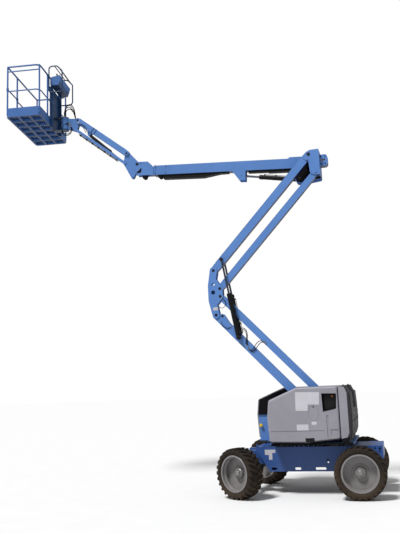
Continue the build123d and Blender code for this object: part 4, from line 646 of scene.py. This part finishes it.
# seams of the four arms: a fine weld bead along each lower and upper edge of both sides
for body, slope, length, half_depth in (
        ("lower_arm", ARM_SLOPE, 3.18, 0.0775), ("lower_link", ARM_SLOPE, 3.18, 0.065),
        ("upper_arm", 180 - ARM_SLOPE, 2.98, 0.0775), ("upper_link", 180 - ARM_SLOPE, 2.98, 0.065)):
    made = bmesh.new()
    for hand in (1, -1):
        for edge in (1, -1):
            pipe(made, [along(pin_of[body], slope, reach, edge * (half_depth - 0.0008), ARM_Y + hand * 0.0492)
                        for reach in (0.15, length - 0.45)], 0.0032, 6)
    fitted("weld_beads_" + body, made, body, blue_coat)

made = bmesh.new()
for hand in (1, -1):
    slab(made, ((-0.045, 0.155), (0.055, 0.155), (0.055, 0.095), (-0.045, 0.095)), 0.001,
        flank(pin_of["mid_pivot"].x, ARM_Y + hand * 0.068, pin_of["mid_pivot"].z, hand=hand), low=-0.0002)
fitted("mid_pivot_blank_plates", made, "mid_pivot", blank_vinyl)

# Lift cylinders: drawn steel tubes painted black with a screwed gland, and hard chromed rods. Hoses
# loop from their base up and over to the arm.
# enamel on drawn tube: smooth black, half gloss
cylinder_paint = finish_of("cylinder_black_paint", "#121316", "#0C0D0F", 0.4, 0.05, grain_mm=8,
    relief_mm=0.1, shine=0.15)
# hard chrome, ground: mirror-like, its grey kept dark as a painted reflection of dark surroundings
hard_chrome = finish_of("hard_chrome_rod", "#5E6270", "#50545F", 0.22, 0.05, metallic=1.0, grain_mm=20)
wear(["lift_barrels", "boom_barrel", "jib_barrel"], cylinder_paint)
wear(["lift_rods", "boom_rod", "jib_rod"], hard_chrome)


def cylinder_fittings(name, body, base, tip, middles, barrel, radius, rod):
    """Gland ring, two ports and a clamped steel pipe along the barrel of each cylinder."""
    made = bmesh.new()
    line = (tip - base).normalized()
    out = line.cross(Vector((0, 1, 0))).normalized()
    for middle in middles:
        foot = Vector((base.x, middle, base.z))
        end = facing(foot + line * barrel, line)
        turned(made, ((-0.07, radius - 0.001), (-0.068, radius + 0.003), (-0.006, radius + 0.003),
            (0, radius), (0.0015, radius - 0.006), (0.006, rod + 0.004), (0.006, rod + 0.0006),
            (-0.002, rod + 0.0006), (-0.002, radius - 0.004), (-0.07, radius - 0.001)), end, 32)
        for reach in (0.11, barrel - 0.1):
            turned(made, ((radius - 0.006, 0), (radius - 0.006, 0.014), (radius + 0.01, 0.014),
                (radius + 0.011, 0.011), (radius + 0.022, 0.011), (radius + 0.023, 0)),
                facing(foot + line * reach, out), 12)
        pipe(made, [foot + line * 0.11 + out * (radius + 0.018),
            foot + line * 0.16 + out * (radius + 0.014),
            foot + line * (barrel - 0.15) + out * (radius + 0.014),
            foot + line * (barrel - 0.1) + out * (radius + 0.018)], 0.006, 8)
        for reach in (0.3, 0.55):
            block(made, (0.02, 0.034, 0.026), 0.003,
                facing(foot + line * barrel * reach * 1.1 + out * (radius + 0.008), line))
    fitted(name, made, body, cylinder_paint)


lift_rod_pin = along(pin_of["upper_arm"], 180 - ARM_SLOPE, 0.275)
cylinder_fittings("lift_cylinder_fittings", "lift_barrels", pin_of["lift_barrels"], lift_rod_pin,
    (0.249, 0.011), 0.89, 0.045, 0.02)
made = bmesh.new()
for hand in (1, -1):
    pin_head(made, 0.004, 0.027, flank(lift_rod_pin.x, ARM_Y + hand * 0.149, lift_rod_pin.z, hand=hand), 24)
fitted("lift_rod_pin_heads", made, "lift_rods", black_steel)
hose("lift_hose_1", "lower_arm", (
    (-1.225, 0.193, 2.925), (-1.215, 0.193, 3.05), (-1.29, 0.193, 3.095), (-1.37, 0.193, 3.04),
    (-1.385, 0.193, 2.90), (-1.362, 0.192, 2.79), (-1.385, 0.182, 2.705)), 0.0075)
hose("lift_hose_2", "lower_arm", (
    (-1.245, 0.193, 2.90), (-1.25, 0.193, 3.02), (-1.31, 0.193, 3.06), (-1.36, 0.193, 3.0),
    (-1.365, 0.193, 2.87), (-1.335, 0.192, 2.77), (-1.35, 0.182, 2.735)), 0.0075)
hose("lift_hose_3", "lower_arm", (
    (-1.385, 0.183, 2.69), (-1.41, 0.193, 2.62), (-1.48, 0.194, 2.66), (-1.55, 0.194, 2.77),
    (-1.63, 0.194, 2.83), (-1.713, 0.191, 2.781)), 0.0075)
hose("lift_hose_4", "lower_arm", (
    (-1.41, 0.183, 2.665), (-1.45, 0.193, 2.60), (-1.52, 0.194, 2.64), (-1.59, 0.194, 2.74),
    (-1.66, 0.194, 2.80), (-1.735, 0.191, 2.76)), 0.0075)
hose("arm_head_hose", "lower_arm", (
    (-0.86, 0.183, 3.24), (-0.87, 0.192, 3.17), (-0.95, 0.192, 3.10), (-1.03, 0.192, 3.09),
    (-1.06, 0.183, 3.13)), 0.006)
hose("mid_pivot_hose", "mid_pivot", (
    (-0.895, 0.1975, 3.705), (-0.96, 0.198, 3.66), (-0.985, 0.198, 3.57), (-0.92, 0.198, 3.49),
    (-0.84, 0.198, 3.52), (-0.80, 0.1975, 3.58)), 0.0055)

# Riser: a fabricated bracket at the arms' top that carries the boom and the foot of its cylinder, with
# a hoop that guards the hoses where they turn.
# moulded polyethylene: dull black with a fine leathery grain; on the hose tray under the boom the black is
# painted shade
black_plastic = finish_of("black_moulded_plastic", "#121214", "#0C0C0D", 0.55, 0.06, grain_mm=6,
    relief_mm=0.3, shine=0.12)
wear(["riser", "hose_guard"], blue_coat)
# the hose tray under the boom is drawn black as painted shade of the deep shadow there
wear(["boom_tray"], black_plastic)
riser_pin = pin_of["riser"]
# from the riser's pin: forwards, down
RISER_BENDS = ((-0.18, 0.1), (-0.06, 0.06), (0.06, 0.14), (0.06, 0.28), (-0.04, 0.37), (-0.18, 0.36))
for number, shift in enumerate((0.0, 0.03, 0.06), 1):
    route = [(riser_pin.x + reach, 0.02 - shift, riser_pin.z - drop) for reach, drop in RISER_BENDS]
    hose(f"riser_hose_{number}", "riser", route, 0.011)
# black sheets of painted shade over the riser's inner plates, which lie in the arm's shade
made = bmesh.new()
slab(made, ((-0.19, 0.02), (-0.02, 0.0), (0.06, -0.04), (0.29, -0.33), (0.318, -0.40), (0.283, -0.47),
    (0.2, -0.488), (-0.19, -0.448)), 0.003, flank(riser_pin.x, -0.0472, riser_pin.z))
slab(made, ((-0.19, -0.02), (-0.10, -0.02), (-0.10, -0.43), (-0.19, -0.43)), 0.09,
    flank(riser_pin.x, -0.044, riser_pin.z))
fitted("riser_lining", made, "riser", black_foam)
made = bmesh.new()
for height in (0.075, -0.075):
    for reach in (-0.225, -0.31):
        block(made, (0.022, 0.006, 0.022), 0.002, Matrix.Translation((riser_pin.x + reach, 0.0615,
            riser_pin.z - 0.115 + height)))
fitted("hose_guard_clips", made, "riser", black_plastic)

# Boom: a telescoping pair of box tubes with a bolted collar at the mouth and carriers for its pads, a
# hose tray below drawn black as painted shade, and rollers that guide the hoses. The side is left bare where
# lettering would be.
# the arms' powder coat, painted a touch deeper as shade, with painted shade in navy on faces that look down
boom_coat = finish_of("boom_powder_coat", "#4F78B4", "#4870AA", 0.42, 0.05, under="#0C1640", **POWDER)
wear(["primary_boom", "extension", "bellcrank", "jib_arm", "jib_link", "jib_head"], boom_coat)
BOOM_SLOPE = 4.5
BOOM_Y = -0.14
boom_pin = pin_of["primary_boom"]


def boom_flank(length, left, out, hand):
    """A place on the boom's side to one hand, out from its middle."""
    point = along(boom_pin, BOOM_SLOPE, length, left)
    return flank(point.x, BOOM_Y + hand * out, point.z, BOOM_SLOPE, hand)


def from_place(place):
    """A point and the direction its place looks in, as a bolt needs them."""
    return place.translation.copy(), tuple(place.col[2][:3])


collar = []
for hand in (1, -1):
    for length in (3.345, 3.10):
        for left in (-0.07, 0.07):
            collar.append(from_place(boom_flank(length, left, 0.0832 if length > 3.3 else 0.0752, hand)))
bolts("boom_collar_bolts", collar, "primary_boom", black_steel, "boom_blue", across=0.016, tall=0.007)
made = bmesh.new()
for hand in (1, -1):
    # pad carriers on the tube's sides, with a strap behind each
    slab(made, ((-0.10, -0.085), (0.10, -0.085), (0.10, 0.085), (-0.10, 0.085)), 0.003,
        boom_flank(3.20, 0.0, 0.0748, hand))
    slab(made, ((-0.006, -0.1), (0.006, -0.1), (0.006, 0.1), (-0.006, 0.1)), 0.003,
        boom_flank(3.03, 0.0, 0.0748, hand))
fitted("boom_pad_carriers", made, "primary_boom", boom_coat)
# hose rollers with flanges, each between two brackets
for name, body, reach, left, half, flange, core, sides_y, (wide, high, low) in (
        ("boom_hose_roller", "primary_boom", 3.235, -0.13, 0.055, 0.046, 0.03, (-0.2, -0.08),
         (0.06, 0.03, -0.022)),
        ("tip_hose_roller", "extension", 3.59, -0.128, 0.04, 0.05, 0.034, (-0.188, -0.096),
         (0.07, 0.035, -0.025))):
    made = bmesh.new()
    roller = along(boom_pin, BOOM_SLOPE, reach, left, BOOM_Y)
    turned(made, ((-half, 0), (-half, flange), (0.008 - half, flange), (0.01 - half, core),
        (half - 0.01, core), (half - 0.008, flange), (half, flange), (half, 0)), facing(roller, (0, 1, 0)),
        28)
    for y in sides_y:
        slab(made, ((-wide, high), (wide, high), (0.02, low), (-0.02, low)), 0.004,
            flank(roller.x, y, roller.z, BOOM_SLOPE))
    fitted(name, made, body, black_plastic)
# black discs and patches on the tip plates: painted shade standing for the dark openings
made = bmesh.new()
for hand in (1, -1):
    for length, left in ((3.744, 0.166), (3.69, 0.165)):
        turned(made, ((-0.001, 0), (-0.001, 0.011), (0.0015, 0.011), (0.002, 0.011 * 0.6), (0.002, 0)),
            boom_flank(length, left, 0.068, hand), 20)
    slab(made, ((-0.035, 0.05), (0.0, 0.06), (0.03, 0.01), (0.075, -0.01), (0.07, -0.05), (-0.02, -0.035)),
        0.0012, boom_flank(3.69, 0.0, 0.068, hand), low=-0.0002)
fitted("tip_plate_openings", made, "extension", black_foam)
cylinder_fittings("boom_cylinder_fittings", "boom_barrel", pin_of["boom_barrel"], pin_of["boom_rod"],
    (BOOM_Y,), 0.85, 0.045, 0.022)

# Jib: a channel-section arm over a pair of flat link bars, with a small cylinder between them. Hoses are
# clipped under the left bar, and others loop round the head.
# a tree that lays banded clips evenly along a line
clip_tree, given = open_tree("spaced_clips", "Clips", Start="Vector", End="Vector", Count="Int",
    Size="Vector", Finish="Material")
row = add(clip_tree, "GeometryNodeMeshLine", {"mode": "END_POINTS"},
    {"Count": given["Count"], "Start Location": given["Start"], "Offset": given["End"]})
run = add(clip_tree, "ShaderNodeVectorMath", {"operation": "SUBTRACT"}, {0: given["End"], 1: given["Start"]})
lie = add(clip_tree, "FunctionNodeAlignRotationToVector", {"axis": "X"}, {"Vector": run.outputs[0]})
body_of_clip = add(clip_tree, "GeometryNodeMeshCube", links={"Size": given["Size"]})
flat_size = add(clip_tree, "ShaderNodeVectorMath", {"operation": "MULTIPLY"},
    {0: given["Size"], 1: (0.4, 1.25, 1.25)})
band = add(clip_tree, "GeometryNodeMeshCube", links={"Size": flat_size.outputs[0]})
clip_whole = add(clip_tree, "GeometryNodeJoinGeometry")
for part in (body_of_clip.outputs["Mesh"], band.outputs["Mesh"]):
    clip_tree.links.new(part, clip_whole.inputs[0])
clips = add(clip_tree, "GeometryNodeInstanceOnPoints", links={"Points": row.outputs["Mesh"],
    "Instance": clip_whole.outputs[0], "Rotation": lie.outputs[0]})
close_tree(clip_tree, clips, given["Finish"])

JIB_SLOPE = 38.8
link_pin = pin_of["jib_link"]
for number, (y, left) in enumerate(((-0.080, -0.040), (-0.095, -0.041), (-0.081, -0.056), (-0.096, -0.057)),
        1):
    route = [along(link_pin, JIB_SLOPE, reach, left + sag, y) for reach,
        sag in ((0.16, 0.0), (0.35, -0.003), (0.55, 0.0), (0.75, -0.003), (0.95, 0.0), (1.15, -0.003),
        (1.34, 0.0))]
    hose(f"jib_link_hose_{number}", "jib_link", [tuple(point) for point in route], 0.0065)
grown("jib_link_clips", clip_tree, bpy.data.meshes.new("jib_link_clips"), "jib_link", "black_plastic",
    Start=along(link_pin, JIB_SLOPE, 0.2, -0.049, -0.087), End=along(link_pin, JIB_SLOPE, 1.3, -0.049,
    -0.087), Count=7, Size=(0.022, 0.026, 0.034), Finish=black_plastic)
jib_low = pin_of["jib_arm"]
made = bmesh.new()
for hand in (1, -1):
    for reach in (0.95, 1.03):
        point = along(jib_low, JIB_SLOPE, reach)
        slab(made, ((-0.007, -0.066), (0.007, -0.066), (0.007, 0.066), (-0.007, 0.066)), 0.0035,
            flank(point.x, BOOM_Y + hand * 0.0668, point.z, JIB_SLOPE, hand))
for reach in (0.95, 1.03):
    point = along(jib_low, JIB_SLOPE, reach, 0.0662)
    block(made, (0.014, 0.14, 0.004), 0.001, flank(point.x, BOOM_Y, point.z,
        JIB_SLOPE) @ Matrix.Rotation(math.pi / 2, 4, "X"))
fitted("jib_straps", made, "jib_arm", hose_rubber)
cylinder_fittings("jib_cylinder_fittings", "jib_barrel", pin_of["jib_barrel"], link_pin, (BOOM_Y,), 0.69,
    0.033, 0.015)
hose("jib_arm_hose_1", "jib_arm", ((2.30, -0.078, 7.985), (2.31, -0.064, 7.92), (2.22, -0.060, 7.90),
    (2.13, -0.058, 7.82), (2.10, -0.058, 7.70)), 0.0065)
hose("jib_arm_hose_2", "jib_arm", ((2.32, -0.078, 7.96), (2.33, -0.06, 7.88), (2.24, -0.056, 7.86),
    (2.16, -0.056, 7.78), (2.13, -0.057, 7.69)), 0.0065)
hose("jib_head_ring_1", "jib_head", ((2.545, -0.100, 7.95), (2.64, -0.082, 7.97), (2.725, -0.08, 7.90),
    (2.735, -0.08, 7.78), (2.66, -0.08, 7.70), (2.54, -0.08, 7.70), (2.475, -0.08, 7.79),
    (2.49, -0.09, 7.88), (2.54, -0.104, 7.91)), 0.0095)
hose("jib_head_ring_2", "jib_head", ((2.525, -0.100, 7.97), (2.62, -0.062, 7.99), (2.70, -0.06, 7.92),
    (2.715, -0.06, 7.80), (2.64, -0.06, 7.725), (2.54, -0.06, 7.72), (2.49, -0.06, 7.80),
    (2.50, -0.07, 7.87), (2.53, -0.104, 7.90)), 0.0085)
for number, (lift_by, out, length) in enumerate(
        ((0.0, 0.0, 0.734), (-0.05, 0.02, 0.639), (-0.08, -0.02, 0.583), (0.04, -0.04, 0.813)), 1):
    hose(f"swivel_hose_{number}", "jib_head", (
        (2.672, -0.12 + out, 8.165), (2.69, -0.12 + out, 8.27 + lift_by), (2.65, -0.11 + out, 8.40 + lift_by),
        (2.54, -0.10 + out, 8.43 + lift_by), (2.45, -0.09 + out, 8.31 + lift_by), (2.42, -0.09 + out, 8.18),
        (2.395, -0.10 + out / 3, 8.06)), 0.009)
# the rotator: a seam round its foot and its top, and a worm housing on its side
rotator = Vector((2.67, BOOM_Y, 0))
made = bmesh.new()
for height in (7.875, 8.1):
    turned(made, ((-0.012, 0.0845), (-0.01, 0.089), (0.01, 0.089), (0.012, 0.0845), (-0.012, 0.0845)),
        Matrix.Translation((rotator.x, rotator.y, height)), 40)
turned(made, ((-0.1, 0), (-0.1, 0.03), (-0.09, 0.038), (0.09, 0.038), (0.1, 0.03), (0.1, 0)),
    facing((2.655, -0.228, 8.0), (1, 0, 0)), 20)
fitted("rotator_housing", made, "jib_head", boom_coat)

# Platform: bent and welded steel tube on a floor of beams, open at the side behind a sliding bar. The
# controls stand on a console over the support, between two guard hoops.
# powder coat on thin tube: the arms' blue painted darker as shade, even, less glossy, with painted shade only
# on faces that look straight down
platform_coat = finish_of("platform_powder_coat", "#4069A6", "#3A619C", 0.42, 0.06, under="#08264B",
    under_to=-0.85, **{**POWDER, "shine": 0.3})
# the platform's blue powder coat on the support, dull, painted dark blue as shade for the platform's shadow
# over it, with more painted shade on faces that look down
support_coat_painted_shade = finish_of("support_powder_coat", "#19406A", "#15365C", 0.45, 0.06, under="#0B1E35",
    **{**POWDER, "coat": 0.05, "shine": 0.3})
# powder coat on the console's folded sheet: half gloss, with painted shade on faces that look down
console_coat = finish_of("console_powder_coat", "#3E69A6", "#38619A", 0.42, 0.06, under="#0B2340", **POWDER)
wear(["platform", "entry_bar"], platform_coat)
wear(["platform_support"], support_coat_painted_shade)
wear(["controls"], console_coat)
DECK_TURN = 9
deck_middle = Matrix.Translation(rotator) @ Matrix.Rotation(math.radians(DECK_TURN), 4, "Z")


def on_deck(out, along_deck, up_from_floor):
    """A place on the platform: outwards from its middle, to the left, and up from its underside."""
    return deck_middle @ Matrix.Translation((0.65 + out, along_deck, 7.888 + up_from_floor))


# a tree that lays a raised bar, turned by its own angle, on every point of the floor
tread_tree, given = open_tree("raised_tread", "Tread", Places="Geometry", Bar_size="Vector",
    Finish="Material")
bar = add(tread_tree, "GeometryNodeMeshCube", links={"Size": given["Bar size"]})
turn = add(tread_tree, "GeometryNodeInputNamedAttribute", {"data_type": "FLOAT"}, Name="turn")
spin = add(tread_tree, "ShaderNodeCombineXYZ", links={"Z": turn.outputs["Attribute"]})
bars = add(tread_tree, "GeometryNodeInstanceOnPoints", links={"Points": given["Places"],
    "Instance": bar.outputs["Mesh"], "Rotation": spin.outputs[0]})
close_tree(tread_tree, bars, given["Finish"])
spots, turns = [], []
for column in range(13):
    for line in range(33):
        spots.append(on_deck(-0.318 + 0.053 * column, -0.848 + 0.053 * line, 0.0565).translation)
        turns.append(math.radians(DECK_TURN + (45 if (column + line) % 2 else -45)))
floor_start = bpy.data.meshes.new("floor_tread")
floor_start.from_pydata([tuple(spot) for spot in spots], [], [])
turn_of = floor_start.attributes.new("turn", "FLOAT", "POINT")
for entry, angle in zip(turn_of.data, turns):
    entry.value = angle
grown("floor_tread", tread_tree, floor_start, "platform", "rail_grey", Bar_size=(0.04, 0.007, 0.003),
    Finish=zinc)

made = bmesh.new()
# joysticks with ribbed boots and a row of switches on the console's sloping top
CONSOLE_OUT, CONSOLE_UP = -0.38, 0.92
console_slope = Matrix.Rotation(math.radians(9), 4, "Y")
for across_deck in (-0.22, 0.0, 0.22):
    place = on_deck(CONSOLE_OUT - 0.16, across_deck, CONSOLE_UP + 0.214) @ console_slope
    turned(made, ((-0.004, 0), (-0.004, 0.036), (0.004, 0.034), (0.008, 0.026), (0.012, 0.029),
        (0.016, 0.021), (0.02, 0.024), (0.024, 0.014), (0.03, 0.009), (0.075, 0.008), (0.08, 0.016),
        (0.1, 0.019), (0.112, 0.014), (0.116, 0)), place, 20)
for column in range(6):
    place = on_deck(CONSOLE_OUT - 0.105, -0.25 + 0.1 * column, CONSOLE_UP + 0.204) @ console_slope
    turned(made, ((-0.004, 0), (-0.004, 0.01), (0.006, 0.01), (0.008, 0.004), (0.022, 0.0035),
        (0.024, 0.005), (0.026, 0)), place, 12)
# the foot switch on the floor
block(made, (0.16, 0.22, 0.06), 0.012, on_deck(-0.24, 0.25, 0.086))
fitted("platform_controls", made, "platform", knob_black)
made = bmesh.new()
turned(made, ((-0.002, 0), (-0.002, 0.016), (0.01, 0.016), (0.014, 0.024), (0.022, 0.024), (0.027, 0.017),
    (0.028, 0)), on_deck(CONSOLE_OUT - 0.2, 0.3, CONSOLE_UP + 0.22) @ console_slope, 24)
fitted("platform_stop_button", made, "platform", knob_orange)
# weld collars round three of the posts
made = bmesh.new()
post_out = 0.36
for out, along_deck in ((post_out, 0.355), (-post_out, 0.38), (-post_out, -0.38)):
    turned(made, ((0.2, 0.0178), (0.201, 0.0195), (0.204, 0.0205), (0.207, 0.0195), (0.208, 0.0178),
        (0.2, 0.0178)), on_deck(out, along_deck, 0.0), 16)
fitted("post_welds", made, "platform", platform_coat)
outwards = Matrix.Rotation(-math.pi / 2, 4, "Y")
support_bolts = [from_place(on_deck(CONSOLE_OUT - 0.0805, across_deck, height) @ outwards)
                 for across_deck in (-0.25, 0.25) for height in (0.06, 0.32, 0.62, 0.84)]
bolts("support_bolts", support_bolts, "platform", black_steel, "boom_blue", across=0.02, tall=0.01)

# matt white paint on the studio's floor: even, without gloss
studio_paint = finish_of("studio_floor", "#DEDEDE", "#DADADA", 0.9, 0.03, shine=0.2)
floor.data.materials.append(studio_paint)
